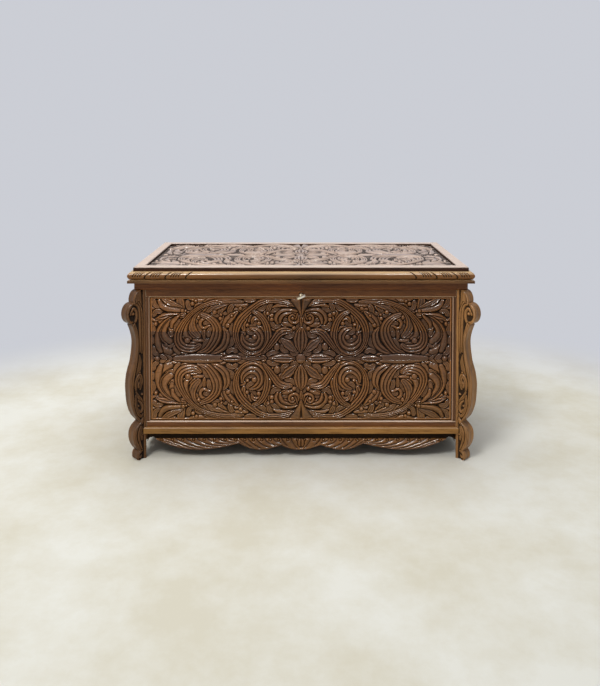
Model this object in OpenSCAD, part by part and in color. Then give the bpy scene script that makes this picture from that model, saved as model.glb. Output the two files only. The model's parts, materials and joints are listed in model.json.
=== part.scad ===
// Carved walnut jewelry box: a framed and panelled case on four scroll legs,
// with a hinged lid, a box lock with its key, a velvet lining and a sliding tray.
// Millimetres. Z is up, the front faces -Y, and the origin is on the table under the middle of the box.

/* [Case] */
// Width between the corner lines of the case, where its front and side faces would meet
case_w = 456; // [420:1:520]
// Depth between the corner lines of the case
case_d = 216; // [200:1:260]
// Height of the underside of the case above the table
base_z = 36; // [32:0.5:44]
// Height of the framed walls, from the underside of the bottom rails to the rim
wall_h = 203; // [190:1:240]
// Thickness of the rails and stiles
wall_t = 14; // [13:0.5:16]
// Height of the top rails
top_rail_h = 11.5; // [9:0.5:18]
// Height of the bottom rails
bottom_rail_h = 16.5; // [14:0.5:24]
// Width of the stiles, measured from the corner line
stile_w = 16; // [15:0.5:22]
// Bevel round each panel opening
opening_bevel = 1.5; // [0.5:0.5:2]

/* [Panels] */
// Depth of the ground of the carved panels below the face of the frame
ground_depth = 5; // [4:0.5:5.5]
// Thickness of the panel boards behind the ground
board_t = 6; // [5:0.5:6.5]
// Depth of the groove that holds the boards
groove_depth = 2.5; // [2:0.25:3]
// Gap between a board and its groove
groove_gap = 0.15; // [0.1:0.05:0.3]
// Height of the carved leaves and scrolls above the ground
relief_h = 3.6; // [2.4:0.2:4]

/* [Rim and base] */
// Thickness of the rim under the lid
rim_h = 10; // [9:0.5:14]
// Overhang of the rim beyond the faces of the case
rim_over = 4; // [3:0.5:5]
// Height of the base strip
strip_h = 8.4; // [6:0.2:12]
// Thickness of the base strip
strip_t = 4; // [3:0.5:6]
// Thickness of the scalloped aprons
apron_t = 10; // [8:0.5:12]
// Drop of the apron lobes below the case
apron_drop = 24.8; // [20:0.2:28]

/* [Legs] */
// Thickness of the scroll legs, which stand diagonally on the cut corners
leg_t = 16; // [13:0.5:18]
// How far the upper volute stands out from the corner line
volute_out = 22.7; // [18:0.1:26]
// How far the belly stands out
belly_out = 17.6; // [14:0.1:20]
// How far the knee stands out
knee_out = 13; // [10:0.1:16]
// How far the foot stands out
foot_out = 7.4; // [6:0.1:10]

/* [Lid] */
// Gap between the closed lid and the rim
lid_gap = 0.4; // [0.2:0.1:0.8]
// Thickness of the moulded lid frame
lid_frame_h = 15.6; // [14:0.2:20]
// Width of the moulded lid frame
lid_frame_w = 40; // [36:1:46]
// Overhang of the lid beyond the faces of the case
lid_over = 12; // [10:0.5:14]
// Height of the plain border round the carved top
border_h = 6; // [4:0.5:8]
// Width of the plain border
border_w = 14; // [10:0.5:18]
// Thickness of the carved boards of the top
lid_board_t = 6; // [5:0.5:7]
// Height of the relief on the top
lid_relief_h = 3.6; // [2.5:0.1:3.8]

/* [Hinges] */
// Distance from a corner line to the middle of the hinge next to it
hinge_inset = 88; // [70:1:128]
// Length of a hinge
hinge_len = 50; // [36:1:60]
// Radius of the hinge barrel
barrel_r = 2.8; // [2.4:0.1:3.2]
// Radius of the hinge pin
pin_r = 1.2; // [1:0.05:1.4]
// Thickness of a hinge leaf
leaf_t = 1.4; // [1:0.1:1.8]
// Depth of a hinge leaf, from the axis to its inner edge
leaf_w = 17; // [14:0.5:18]

/* [Lock] */
// Height of the key above the top of the panel opening
key_up = 4.5; // [4:0.1:6]
// Width of the bow of the key
bow_w = 13.5; // [12:0.5:18]
// Thickness of the bow
bow_t = 2.4; // [1.8:0.1:3]
// Radius of the shaft of the key
key_r = 1.6; // [1.4:0.1:1.8]
// Angle of the bow above level
bow_tilt = 23; // [0:1:60]
// Half the width of the lock body
lock_half = 24; // [22:1:30]
// Height of the lock body
lock_h = 35; // [32:1:44]
// Depth of the lock body, from the wall into the box
lock_depth = 9; // [9:0.5:10]

/* [Lining and tray] */
// Thickness of the velvet covered wall linings
lining_t = 1.6; // [1:0.1:2.5]
// Thickness of the bottom board
bottom_t = 8; // [6:0.5:10]
// Thickness of the padded floor
floor_pad_t = 3; // [2:0.5:5]
// Thickness of the padded lining of the lid
lid_pad_t = 5; // [3:0.5:6]
// Width of the sliding tray
tray_w = 206; // [180:1:206]
// Height of the tray
tray_h = 42; // [34:1:44]
// Thickness of the tray walls
tray_wall = 6; // [4:0.5:7]
// Gap between the tray and what it slides on and along
tray_gap = 0.3; // [0.2:0.1:0.5]
// Thickness and height of the tray runners
runner = 8; // [6:0.5:10]
// Radius of a ring roll
roll_r = 7.4; // [6:0.1:8]

/* [Joinery] */
// Hairline left at glued joints, so that each stick and board is a piece of its own
seam = 0.1; // [0.05:0.05:0.2]

/* [Hidden] */
$fn = 48;

// Levels
wall_top = base_z + wall_h;
rim_top = wall_top + rim_h;
lid_z = rim_top + lid_gap;
lid_frame_top = lid_z + lid_frame_h;
open_lo = base_z + bottom_rail_h;
open_hi = wall_top - top_rail_h;
open_h = open_hi - open_lo;
floor_z = base_z + strip_h + bottom_t;
pad_z = floor_z + floor_pad_t;

// Plan
corner_cut = leg_t / sqrt(2);
inner_w = case_w - 2 * wall_t;
inner_d = case_d - 2 * wall_t;
lined_w = inner_w - 2 * lining_t;
lined_d = inner_d - 2 * lining_t;
board_splits = [0, 0.28, 0.51, 0.86, 1];

// Rebate for the carved boards in the lid frame
lid_rebate = lid_board_t - border_h + lid_relief_h + 0.4;
// Half width and half height of the front panel for which the carving is drawn
drawn_w = 212;
drawn_h = 87.5;
// Gap between the carving and the frame round it
relief_gap = 0.3;
field_out = rim_over + 1;

function side_len(n) = n % 2 == 0 ? case_w : case_d;
function even(k) = k % 2 == 0;

// ---------------------------------------------------------------- helpers

// Puts a piece drawn for a wall whose outer face is y = 0 on side n: 0 front, 1 right, 2 back, 3 left
module on_side(n)
  rotate([0, 0, 90 * n])
    translate([0, -side_len(n + 1) / 2, 0])
      children();

// Sweeps a profile drawn in (depth, height) along a wall
module along(length)
  rotate([90, 0, 90])
    linear_extrude(length, center = true)
      children();

// Plan of a wall member of thickness t: mitred at the corners, which are cut off for the legs
module wall_plan(length, t) {
  half = length / 2 - seam;
  polygon([
    [-half + corner_cut, 0], [half - corner_cut, 0], [half - corner_cut / 2, corner_cut / 2],
    [half - t, t], [-half + t, t], [-half + corner_cut / 2, corner_cut / 2]
  ]);
}

// Plan of a mitred member from "over" outside the corner lines to "t" inside them
module mitre_plan(length, over, t) {
  half = length / 2 - seam;
  polygon([[-half - over, -over], [half + over, -over], [half - t, t], [-half + t, t]]);
}

// Points of a smooth curve through p (Catmull-Rom), with n steps from each point to the next
function spline(p, n) = [
  for (i = [0 : len(p) - 2], k = [0 : n - 1])
    let (
      t = k / n,
      a = p[max(i - 1, 0)], b = p[i], c = p[i + 1], d = p[min(i + 2, len(p) - 1)]
    )
    0.5 * (2 * b + (c - a) * t + (2 * a - 5 * b + 4 * c - d) * t * t + (3 * b - a - 3 * c + d) * t * t * t),
  p[len(p) - 1]
];

// Points of an ellipse's arc about c, from angle a0 to a1
function arc(c, rx, ry, a0, a1, n) = [
  for (k = [0 : n]) c + [rx * cos(a0 + (a1 - a0) * k / n), ry * sin(a0 + (a1 - a0) * k / n)]
];

// ---------------------------------------------------------------- framed walls

module top_rail(n)
  intersection() {
    translate([0, 0, open_hi]) linear_extrude(top_rail_h) wall_plan(side_len(n), wall_t);
    along(side_len(n))
      translate([0, open_hi + top_rail_h]) mirror([0, 1]) rail_profile(top_rail_h);
  }

module bottom_rail(n)
  intersection() {
    translate([0, 0, base_z]) linear_extrude(bottom_rail_h) wall_plan(side_len(n), wall_t);
    along(side_len(n)) translate([0, base_z]) rail_profile(bottom_rail_h);
  }

// A rail of height h with the bevel and the groove on its upper edge
module rail_profile(h)
  polygon([
    [0, 0], [wall_t, 0], [wall_t, h],
    [ground_depth + board_t + groove_gap, h], [ground_depth + board_t + groove_gap, h - groove_depth],
    [ground_depth - groove_gap, h - groove_depth], [ground_depth - groove_gap, h],
    [opening_bevel, h], [0, h - opening_bevel]
  ]);

// The stile at the low-x end of wall n
module stile(n)
  translate([-side_len(n) / 2, 0, open_lo + seam])
    linear_extrude(open_h - 2 * seam)
      polygon([
        [corner_cut + seam, 0], [stile_w - opening_bevel, 0], [stile_w, opening_bevel],
        [stile_w, ground_depth - groove_gap], [stile_w - groove_depth, ground_depth - groove_gap],
        [stile_w - groove_depth, ground_depth + board_t + groove_gap],
        [stile_w, ground_depth + board_t + groove_gap],
        [stile_w, wall_t], [wall_t + seam, wall_t], [corner_cut / 2 + seam, corner_cut / 2]
      ]);

module frame_members(n) {
  top_rail(n);
  bottom_rail(n);
  stile(n);
  mirror([1, 0, 0]) stile(n);
}

// Board k of wall n, counted from the top, without its carving
module board(n, k) {
  tongue = groove_depth - groove_gap;
  w = side_len(n) - 2 * stile_w + 2 * tongue;
  hi = open_hi - board_splits[k] * open_h + (k == 0 ? tongue : 0);
  lo = open_hi - board_splits[k + 1] * open_h - (k == len(board_splits) - 2 ? tongue : -seam);
  translate([-w / 2, ground_depth, lo]) cube([w, board_t, hi - lo]);
}

// ---------------------------------------------------------------- rim, base and aprons

rim_bevel = 1;
module rim(n)
  intersection() {
    translate([0, 0, wall_top]) linear_extrude(rim_h) mitre_plan(side_len(n), rim_over, wall_t);
    along(side_len(n) + 2 * rim_over + 2)
      translate([0, wall_top])
        polygon([
          [-rim_over + rim_bevel, 0], [wall_t, 0], [wall_t, rim_h], [-rim_over + rim_bevel, rim_h],
          [-rim_over, rim_h - rim_bevel], [-rim_over, rim_bevel]
        ]);
  }

// The base strip lies against the face of the wall and butts on the legs
strip_round = 1.6;
module base_strip(n)
  intersection() {
    translate([0, 0, base_z])
      linear_extrude(strip_h)
        polygon([
          [-side_len(n) / 2 + corner_cut - strip_t, -strip_t],
          [side_len(n) / 2 - corner_cut + strip_t, -strip_t],
          [side_len(n) / 2 - corner_cut, 0], [-side_len(n) / 2 + corner_cut, 0]
        ]);
    along(side_len(n))
      translate([0, base_z])
        polygon(concat(
          [[0, 0], [-strip_t, 0]],
          arc([-strip_t + strip_round, strip_h - strip_round], strip_round, strip_round, 180, 90, 6),
          [[0, strip_h]]
        ));
  }

// Lower edge of the apron: a short bracket at each leg, two side lobes and a middle lobe
lobe_steps = 12;
lobe_lean = 0.88;
function lobe(x0, z0, x1, z1, drop) = [
  for (k = [0 : lobe_steps])
    let (t = k / lobe_steps, hang = drop - abs(z0 + z1) / 2)
    [x0 + (x1 - x0) * t, z0 + (z1 - z0) * t - hang * sin(180 * pow(t, lobe_lean))]
];
bracket_w = 22;
bracket_h = 14.5;
bracket_lo = 7;
bracket_lip = 2.5;
lobe_start_z = 8.5;
inner_cusp = 0.12;
inner_cusp_z = 18;
outer_cusp = 0.38;
outer_cusp_z = 15.5;
function apron_half(half) =
  let (
    end = half - corner_cut,
    cusp_1 = half * inner_cusp, cusp_2 = half * outer_cusp, tip = half - bracket_w
  )
  concat(
    arc([-tip - bracket_lip, -bracket_h], end - tip - bracket_lip, bracket_h - bracket_lo, 180, 90, 6),
    lobe(-tip, -lobe_start_z, -cusp_2, -outer_cusp_z, apron_drop),
    lobe(-cusp_2, -outer_cusp_z, -cusp_1, -inner_cusp_z, apron_drop)
  );
module apron(n) {
  half = side_len(n) / 2;
  left = apron_half(half);
  right = [for (k = [len(left) - 1 : -1 : 0]) [-left[k][0], left[k][1]]];
  intersection() {
    translate([0, 0, base_z - 2 * apron_drop]) linear_extrude(2 * apron_drop) wall_plan(side_len(n), apron_t);
    translate([0, apron_t, base_z])
      rotate([90, 0, 0])
        linear_extrude(apron_t)
          polygon(concat(
            [[half, 0], [-half, 0], [-half, -bracket_h]],
            left,
            lobe(-half * inner_cusp, -inner_cusp_z, half * inner_cusp, -inner_cusp_z, apron_drop),
            right,
            [[half, -bracket_h]]
          ));
  }
}

// ---------------------------------------------------------------- legs

// Outline of a scroll leg in (distance out from the corner line, height)
// as shares of each part's own reach and of the height of the wall
function leg_line(shares, out) = [for (p = shares) [p[0] * out, p[1] * wall_top]];
leg_foot = leg_line([
  [0.55, 0], [0.92, 0.006], [1, 0.018], [0.95, 0.036], [0.75, 0.048], [0.45, 0.054]
], foot_out);
leg_knee = leg_line([
  [0.28, 0.054], [0.56, 0.072], [0.82, 0.098], [0.97, 0.125], [1, 0.15],
  [0.93, 0.175], [0.74, 0.194], [0.43, 0.209], [0.1, 0.221]
], knee_out);
leg_belly = leg_line([
  [0.08, 0.223], [0.53, 0.265], [0.82, 0.318], [0.92, 0.355], [0.98, 0.4],
  [1, 0.45], [0.92, 0.503], [0.78, 0.541], [0.61, 0.577], [0.48, 0.625],
  [0.4, 0.675], [0.41, 0.715], [0.54, 0.757], [0.68, 0.785], [0.76, 0.8]
], belly_out);
leg_shoulder = leg_line([
  [0.47, 0.928], [0.485, 0.94], [0.47, 0.955], [0.4, 0.975], [0.28, 0.99], [0.13, 0.997], [0.04, 1]
], volute_out);
volute_c = [volute_out * 0.5, wall_top * 0.867];
volute_rx = volute_out - volute_c[0];
volute_rz = wall_top * 0.0605;
leg_inner = -leg_t / 2;
leg_points = concat(
  [[leg_inner, 0]],
  spline(leg_foot, 4),
  spline(leg_knee, 3),
  spline(leg_belly, 3),
  arc(volute_c, volute_rx, volute_rz, -86, 92, 22),
  spline(leg_shoulder, 3),
  [[leg_inner, wall_top]]
);

// Band along a spiral about c that winds from angle a0, radius r0, to angle a1, radius r1
least_r = 0.2;
function spiral_point(c, squeeze, r, a) = c + [squeeze * r * cos(a), r * sin(a)];
function spiral(c, squeeze, r0, r1, a0, a1, w, n) =
  let (
    angle = [for (k = [0 : n]) a0 + (a1 - a0) * k / n],
    r = [for (k = [0 : n]) r0 + (r1 - r0) * k / n]
  )
  concat(
    [for (k = [0 : n]) spiral_point(c, squeeze, r[k], angle[k])],
    [for (k = [n : -1 : 0]) spiral_point(c, squeeze, max(r[k] - w, least_r), angle[k])]
  );

module leg_blank()
  rotate([90, 0, 0])
    linear_extrude(leg_t, center = true)
      polygon(leg_points);

// Grooves that draw the volutes on both broad faces
module volute_grooves() {
  cut = 1.6;
  for (s = [-1, 1])
    translate([0, s * (leg_t / 2 - cut / 2), 0])
      rotate([90, 0, 0])
        linear_extrude(cut + 0.02, center = true) {
          polygon(spiral(volute_c, 0.72, 11.2, 2.5, 250, -190, 1.5, 36));
          polygon(spiral([foot_out * 0.3, wall_top * 0.027], 0.9, 4.4, 1.2, 200, -150, 1, 20));
        }
}

module leg()
  difference() {
    leg_blank();
    volute_grooves();
  }

// Stands a leg on a corner: sx and sy are -1 or 1
module on_corner(sx, sy)
  translate([sx * case_w / 2, sy * case_d / 2, 0])
    rotate([0, 0, atan2(sy, sx)])
      children();

// ---------------------------------------------------------------- carved relief

// Plan of a leaf or a band: its middle line runs through p, and w is half its width at each point.
// $steps is the number of straight pieces from one point to the next.
module band(p, w) {
  line = spline(p, $steps);
  half = spline(w, $steps);
  last = len(line) - 1;
  side = [
    for (k = [0 : last])
      let (d = line[min(k + 1, last)] - line[max(k - 1, 0)])
      half[k] * [-d[1], d[0]] / norm(d)
  ];
  polygon(concat([for (k = [0 : last]) line[k] + side[k]], [for (k = [last : -1 : 0]) line[k] - side[k]]));
}

// The big leaf fan and the corner leaves at the end of the panel
module end_leaves() {
  band([[-173, -60.5], [-196, -46.5], [-201.5, -25], [-190, -12]], [1.5, 3, 4.2, 6]);
  band([[-172, -60.5], [-190, -44.5], [-191, -33], [-184, -25]], [1.5, 3, 4.2, 4.5]);
  band([[-163, -62.5], [-189, -60.5], [-204, -56]], [2.4, 4.4, 1]);
  band([[-162, -68], [-187, -73.5], [-197, -83]], [2, 6, 4]);
}

// The outer scroll: its stem and hook, the two leaves rolled up in it and the leaves behind it
module outer_scroll() {
  band(
    [[-82, -80], [-112, -81.8], [-141, -72.8], [-161, -55.5], [-172.3, -34], [-166.5, -17], [-149, -14.5]],
    [2.5, 3.8, 3.2, 3, 4.5, 6, 4.5]
  );
  band([[-141, -69], [-156, -57], [-158.5, -43], [-150, -33]], [1.5, 6, 8, 5]);
  band([[-138, -9], [-123.5, -20], [-118, -38], [-125, -55], [-140, -62.5]], [3, 6.5, 7.2, 5.4, 3.2]);
  band([[-122, -9], [-108.5, -18.5], [-104.5, -32], [-109, -44]], [2, 5, 5.2, 1.5]);
}

// The inner scroll: a band that rolls in on itself, the leaf inside it and the branch to the middle
module inner_scroll() {
  band(
    [[-8, -76], [-32, -82.5], [-57, -79], [-77, -64.5], [-90, -45], [-90, -24.5], [-78.5, -9], [-60, -8.5],
      [-47.5, -25], [-48.5, -46.5], [-65, -66]],
    [3, 4, 4, 4.8, 5.4, 4.6, 3.4, 3.8, 5.6, 5, 3]
  );
  band([[-82, -32], [-75.5, -18], [-61, -19], [-57.5, -34.5], [-71, -43.5]], [1.6, 5.4, 5.6, 4.8, 1.6]);
  band([[-45, -17], [-36, -30], [-26, -38], [-15, -38.5]], [3.6, 5, 5.4, 3.4]);
}

// The small leaves that fill the field between the scrolls and beside the palmette
module filling_leaves() {
  band([[-98, -78.5], [-118, -73], [-132, -65.5]], [3, 4.4, 1.5]);
  band([[-92, -65], [-101, -56], [-106.5, -47.5]], [2.4, 5.6, 4.6]);
  band([[-9, -66], [-25, -66], [-32, -57], [-31, -50]], [2.5, 5, 5.5, 3]);
}

// Rosette, palmettes and middle band, on both middle lines of the field
module centre_motifs() {
  circle(r = 6.7);
  for (turn = [0, 180])
    rotate(turn) {
      band([[0, -9], [0, -18], [0, -32], [0, -45.5]], [2, 8.6, 9.6, 0.8]);
      band([[-9, 0], [-18, 0], [-30, 0], [-44.5, 0]], [2, 6.6, 7, 0.8]);
      band([[0, -60], [0, -70], [0, -87.2]], [1.5, 6, 15]);
      band([[-80, 0], [-97, 0], [-112, 0]], [1, 5.4, 1]);
      band([[-114, 0], [-145, 0], [-176, 0]], [5.5, 7, 4]);
      for (flip = [0, 1]) mirror([flip, 0]) band([[-8, -11], [-19, -21], [-26.5, -26.5]], [2, 6.4, 3]);
    }
}

// The main forms of the carving in a field of half width hw and half height hh. Their places are
// drawn for the front panel, and other fields stretch them.
module carving(hw, hh, $steps)
  intersection() {
    scale([hw / drawn_w, hh / drawn_h]) {
      centre_motifs();
      for (across = [0, 1], up = [0, 1])
        mirror([across, 0]) mirror([0, up]) {
          end_leaves();
          outer_scroll();
          inner_scroll();
          filling_leaves();
        }
    }
    square(2 * [hw - relief_gap, hh - relief_gap], center = true);
  }

// ---------------------------------------------------------------- lid

// A fillet below, a quirk above it and a round nose up to the top
nose_w = 6.5;
nose_h = 5.5;
quirk_lo = 3.6;
quirk_hi = 4.2;
quirk_depth = 3;
function lid_profile() =
  let (x = -lid_over, top = lid_frame_h, inner = lid_frame_w - lid_over, rebate = border_w - field_out)
  concat(
    [[inner, 0], [inner, top - lid_rebate], [rebate, top - lid_rebate], [rebate, top]],
    arc([x + nose_w, top - nose_h], nose_w, nose_h, 90, 270, 18),
    [[x + quirk_depth, quirk_hi], [x + quirk_depth, quirk_lo], [x, quirk_lo], [x, 0]]
  );

module lid_moulding(n)
  intersection() {
    translate([0, 0, lid_z])
      linear_extrude(lid_frame_h) mitre_plan(side_len(n), lid_over, lid_frame_w - lid_over);
    along(side_len(n) + 2 * lid_over + 2) translate([0, lid_z]) polygon(lid_profile());
  }

outer_bevel = 1;
inner_bevel = 0.8;
module border(n)
  intersection() {
    translate([0, 0, lid_frame_top])
      linear_extrude(border_h) mitre_plan(side_len(n), field_out, border_w - field_out);
    along(side_len(n) + 2 * field_out + 2)
      translate([-field_out, lid_frame_top])
        polygon([
          [0, 0], [border_w, 0], [border_w, border_h - inner_bevel], [border_w - inner_bevel, border_h],
          [outer_bevel, border_h], [0, border_h - outer_bevel]
        ]);
  }

lid_field_w = case_w + 2 * field_out - 2 * border_w - 2 * groove_gap;
lid_field_d = case_d + 2 * field_out - 2 * border_w - 2 * groove_gap;
module lid_board(k, of) {
  deep = lid_field_d / of;
  translate([0, 0, lid_frame_top - lid_rebate]) {
    translate([-lid_field_w / 2, -lid_field_d / 2 + deep * k, 0])
      cube([lid_field_w, deep - seam, lid_board_t]);
    translate([0, 0, lid_board_t / 2])
      linear_extrude(lid_board_t / 2 + lid_relief_h)
        intersection() {
          carving(lid_field_w / 2, lid_field_d / 2, $steps = 1);
          translate([-lid_field_w / 2, -lid_field_d / 2 + deep * k]) square([lid_field_w, deep - seam]);
        }
  }
}

lid_inner_w = case_w + 2 * lid_over - 2 * lid_frame_w;
lid_inner_d = case_d + 2 * lid_over - 2 * lid_frame_w;
pad_gap = 0.3;
module lid_pad()
  translate([-lid_inner_w / 2 + pad_gap, -lid_inner_d / 2 + pad_gap, lid_frame_top - lid_rebate - lid_pad_t])
    cube([lid_inner_w - 2 * pad_gap, lid_inner_d - 2 * pad_gap, lid_pad_t]);

// ---------------------------------------------------------------- hinges

hinge_x = case_w / 2 - hinge_inset;
axis_y = case_d / 2 + rim_over + 1;
axis_z = rim_top + lid_gap / 2;
knuckle = hinge_len * 0.3;
knuckle_gap = 0.3;
pocket_r = barrel_r + 0.3;

// Lengths of barrel that belong to the case leaf (ends) and to the lid leaf (middle)
module end_knuckles(r)
  for (s = [-1, 1])
    translate([s * (hinge_len - knuckle) / 2, axis_y, axis_z])
      rotate([0, 90, 0]) cylinder(r = r, h = knuckle, center = true);
module mid_knuckle(r)
  translate([0, axis_y, axis_z])
    rotate([0, 90, 0]) cylinder(r = r, h = hinge_len - 2 * knuckle - 2 * knuckle_gap, center = true);

// A leaf lies with its face on height z0, up to z1
module leaf_plate(z0, z1)
  translate([-hinge_len / 2, axis_y - leaf_w, z0]) cube([hinge_len, leaf_w, z1 - z0]);

module pin_bore(r)
  translate([0, axis_y, axis_z]) rotate([0, 90, 0]) cylinder(r = r, h = hinge_len + 2, center = true);

screw_x = [-hinge_len * 0.34, 0, hinge_len * 0.34];
screw_shank = 1;
screw_head = 2.1;
pin_end = 0.5;
screw_y = axis_y - leaf_w * 0.62;

// Room round the barrel of the other leaf
module clear_of(r, length)
  translate([0, axis_y, axis_z]) rotate([0, 90, 0]) cylinder(r = r, h = length, center = true);

module case_leaf()
  difference() {
    union() {
      difference() {
        leaf_plate(rim_top - leaf_t, rim_top);
        clear_of(pocket_r, hinge_len + 2);
      }
      intersection() {
        leaf_plate(rim_top - leaf_t, rim_top);
        end_knuckles(pocket_r + 0.5);
      }
      end_knuckles(barrel_r);
    }
    pin_bore(pin_r + 0.01);
    for (x = screw_x) translate([x, screw_y, rim_top - leaf_t]) screw_hole(leaf_t);
  }

module lid_leaf()
  difference() {
    union() {
      difference() {
        leaf_plate(lid_z, lid_z + leaf_t);
        clear_of(pocket_r, hinge_len + 2);
      }
      intersection() {
        leaf_plate(lid_z, lid_z + leaf_t);
        mid_knuckle(pocket_r + 0.5);
      }
      mid_knuckle(barrel_r);
    }
    pin_bore(pin_r + 0.06);
    for (x = screw_x) translate([x, screw_y, lid_z + leaf_t]) mirror([0, 0, 1]) screw_hole(leaf_t);
  }

// Countersunk hole through a plate of thickness t whose face is at z = t
module screw_hole(t) {
  translate([0, 0, -1]) cylinder(r = screw_shank + 0.05, h = t + 2);
  translate([0, 0, t - 1.1]) cylinder(r1 = screw_shank + 0.05, r2 = screw_head + 0.05, h = 1.1);
}

// Countersunk screw with its slot, head face at z = 0, shank downwards
module screw(length)
  difference() {
    union() {
      translate([0, 0, -length]) cylinder(r = screw_shank, h = length - 0.5);
      translate([0, 0, -1.1]) cylinder(r1 = screw_shank, r2 = screw_head, h = 1.1);
    }
    translate([-screw_head, -0.25, -0.5]) cube([2 * screw_head, 0.5, 1]);
  }

// Room for both hinges in the rim or in the lid frame
module hinge_pockets(z0, z1)
  for (s = [-1, 1])
    translate([s * hinge_x, 0, 0]) {
      leaf_plate(z0, z1);
      clear_of(pocket_r, hinge_len + 1.6);
      children();
    }

// ---------------------------------------------------------------- lock and key

key_z = open_hi + key_up;
lock_face = -case_d / 2 + wall_t;
lock_wall = 1.2;
lock_plate = 1.4;
flange = 6;
lock_lo = rim_top - lock_h;
key_reach = 3;
bit_len = 6;
bit_t = 1.8;
bit_w = 1.5;
bow_out = 33.5;
bow_r = 5;
bow_eye_r = 2;
collar_r = key_r + 0.7;
collar_t = 1.6;
collar_up = 3.5;

// The bolt's plate slides behind the end of the key, and its two pegs stand forward into the path of the bit
bolt_t = 2.2;
bolt_y = key_reach + 0.4 + bolt_t / 2;
bolt_travel = 4.5;
bar_lo = -9.5;
bar_h = 3;
post_w = 3;
peg_w = 2;
peg_top = -3.2;
notch_left = -2;
notch_right = 1.4;
finger_len = 7.2;
finger_h = 2.6;
finger_z = key_z + 8.2;
slide_gap = 0.4;
guide_w = 20;
guide_t = 2;

// Two ears hang from the plate in the lid, and the bolt's fingers pass through their windows
ear_x = lock_half / 2;
ear_t = 1.8;
ear_w = 4.6;
ear_gap = 0.6;
ear_drop = 3.4;
tip_gap = 0.9;
link_t = 1.2;
link_w = 7.2;
link_half = lock_half - 3;
link_screw_x = [-(lock_half - 6), 0, lock_half - 6];
screw_len = 8;

// Section of the keyhole: a round eye with a slot below it
module keyhole() {
  circle(r = key_r + 0.8);
  translate([-bit_t / 2 - slide_gap, -bit_len - 0.8]) square([bit_t + 2 * slide_gap, bit_len + 0.8]);
}
module keyhole_cut(y0, y1)
  translate([0, y1, key_z]) rotate([90, 0, 0]) linear_extrude(y1 - y0) keyhole();

lock_screw_places = [
  for (s = [-1, 1], z = [wall_top - top_rail_h / 2, wall_top + rim_h / 2]) [s * (lock_half + flange / 2), z]
];
module at_lock_screws(y)
  for (p = lock_screw_places)
    translate([p[0], y, p[1]]) rotate([-90, 0, 0]) children();

lock_slot_z = rim_top - 2 * lock_wall;
module lock_case() {
  difference() {
    union() {
      translate([-lock_half, lock_face, lock_lo]) cube([2 * lock_half, lock_depth, lock_h]);
      translate([-lock_half - flange, lock_face, lock_lo])
        cube([2 * (lock_half + flange), lock_plate, lock_h]);
    }
    translate([-lock_half + lock_wall, lock_face + lock_wall, lock_lo + lock_wall])
      cube([2 * (lock_half - lock_wall), lock_depth - 2 * lock_wall, lock_h - 2 * lock_wall]);
    for (s = [-1, 1])
      translate([s * ear_x - ear_t / 2 - ear_gap, lock_face + bolt_y - ear_w / 2 - ear_gap, lock_slot_z])
        cube([ear_t + 2 * ear_gap, ear_w + 2 * ear_gap, 3 * lock_wall]);
    keyhole_cut(lock_face - 1, lock_face + lock_wall + 0.5);
    at_lock_screws(lock_face) screw_hole(lock_plate);
  }
  // Guide behind and under the bolt's bar
  back = lock_face + lock_depth - lock_wall;
  front = lock_face + bolt_y + bolt_t / 2 + slide_gap / 2;
  translate([-guide_w / 2, front, key_z + bar_lo]) cube([guide_w, back - front, bar_h]);
  translate([-guide_w / 2, lock_face + bolt_y, key_z + bar_lo - guide_t])
    cube([guide_w, back - lock_face - bolt_y, guide_t - slide_gap / 2]);
}

// Drawn about the axis of the key, in the drawn-back position
module bolt_shape() {
  left = -ear_x - ear_t / 2 - tip_gap - finger_len;
  translate([left, -bolt_t / 2, bar_lo]) cube([2 * ear_x + post_w, bolt_t, bar_h]);
  for (s = [0, 1])
    translate([left + 2 * s * ear_x, -bolt_t / 2, 0]) {
      translate([0, 0, bar_lo]) cube([post_w, bolt_t, finger_z - key_z + finger_h / 2 - bar_lo]);
      translate([0, 0, finger_z - key_z - finger_h / 2]) cube([finger_len, bolt_t, finger_h]);
    }
  for (x = [notch_left - peg_w, notch_right])
    translate([x - bolt_travel, -bolt_t / 2 - bit_w, bar_lo + 1])
      cube([peg_w, bit_w + bolt_t, peg_top - bar_lo - 1]);
}
module lock_bolt() translate([0, lock_face + bolt_y, key_z]) bolt_shape();

// Drawn about its own axis, with the bow towards -y and the bit down
module key_shape() {
  rotate([90, 0, 0]) cylinder(r = key_r, h = bow_out - bow_eye_r - (bow_r - bow_eye_r) / 2);
  translate([0, -bow_out + bow_r + collar_up, 0]) rotate([90, 0, 0]) cylinder(r = collar_r, h = collar_t);
  translate([0, -bow_out, 0])
    rotate([0, 90, 0])
      linear_extrude(bow_t, center = true)
        difference() {
          polygon(arc([0, 0], bow_w / 2, bow_r, 10, 370, 36));
          circle(r = bow_eye_r);
        }
  translate([-bit_t / 2, -bit_w, -bit_len]) cube([bit_t, bit_w, bit_len]);
}
module key_in_place()
  translate([0, lock_face + key_reach, key_z])
    rotate([0, 90 - bow_tilt, 0])
      key_shape();

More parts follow.
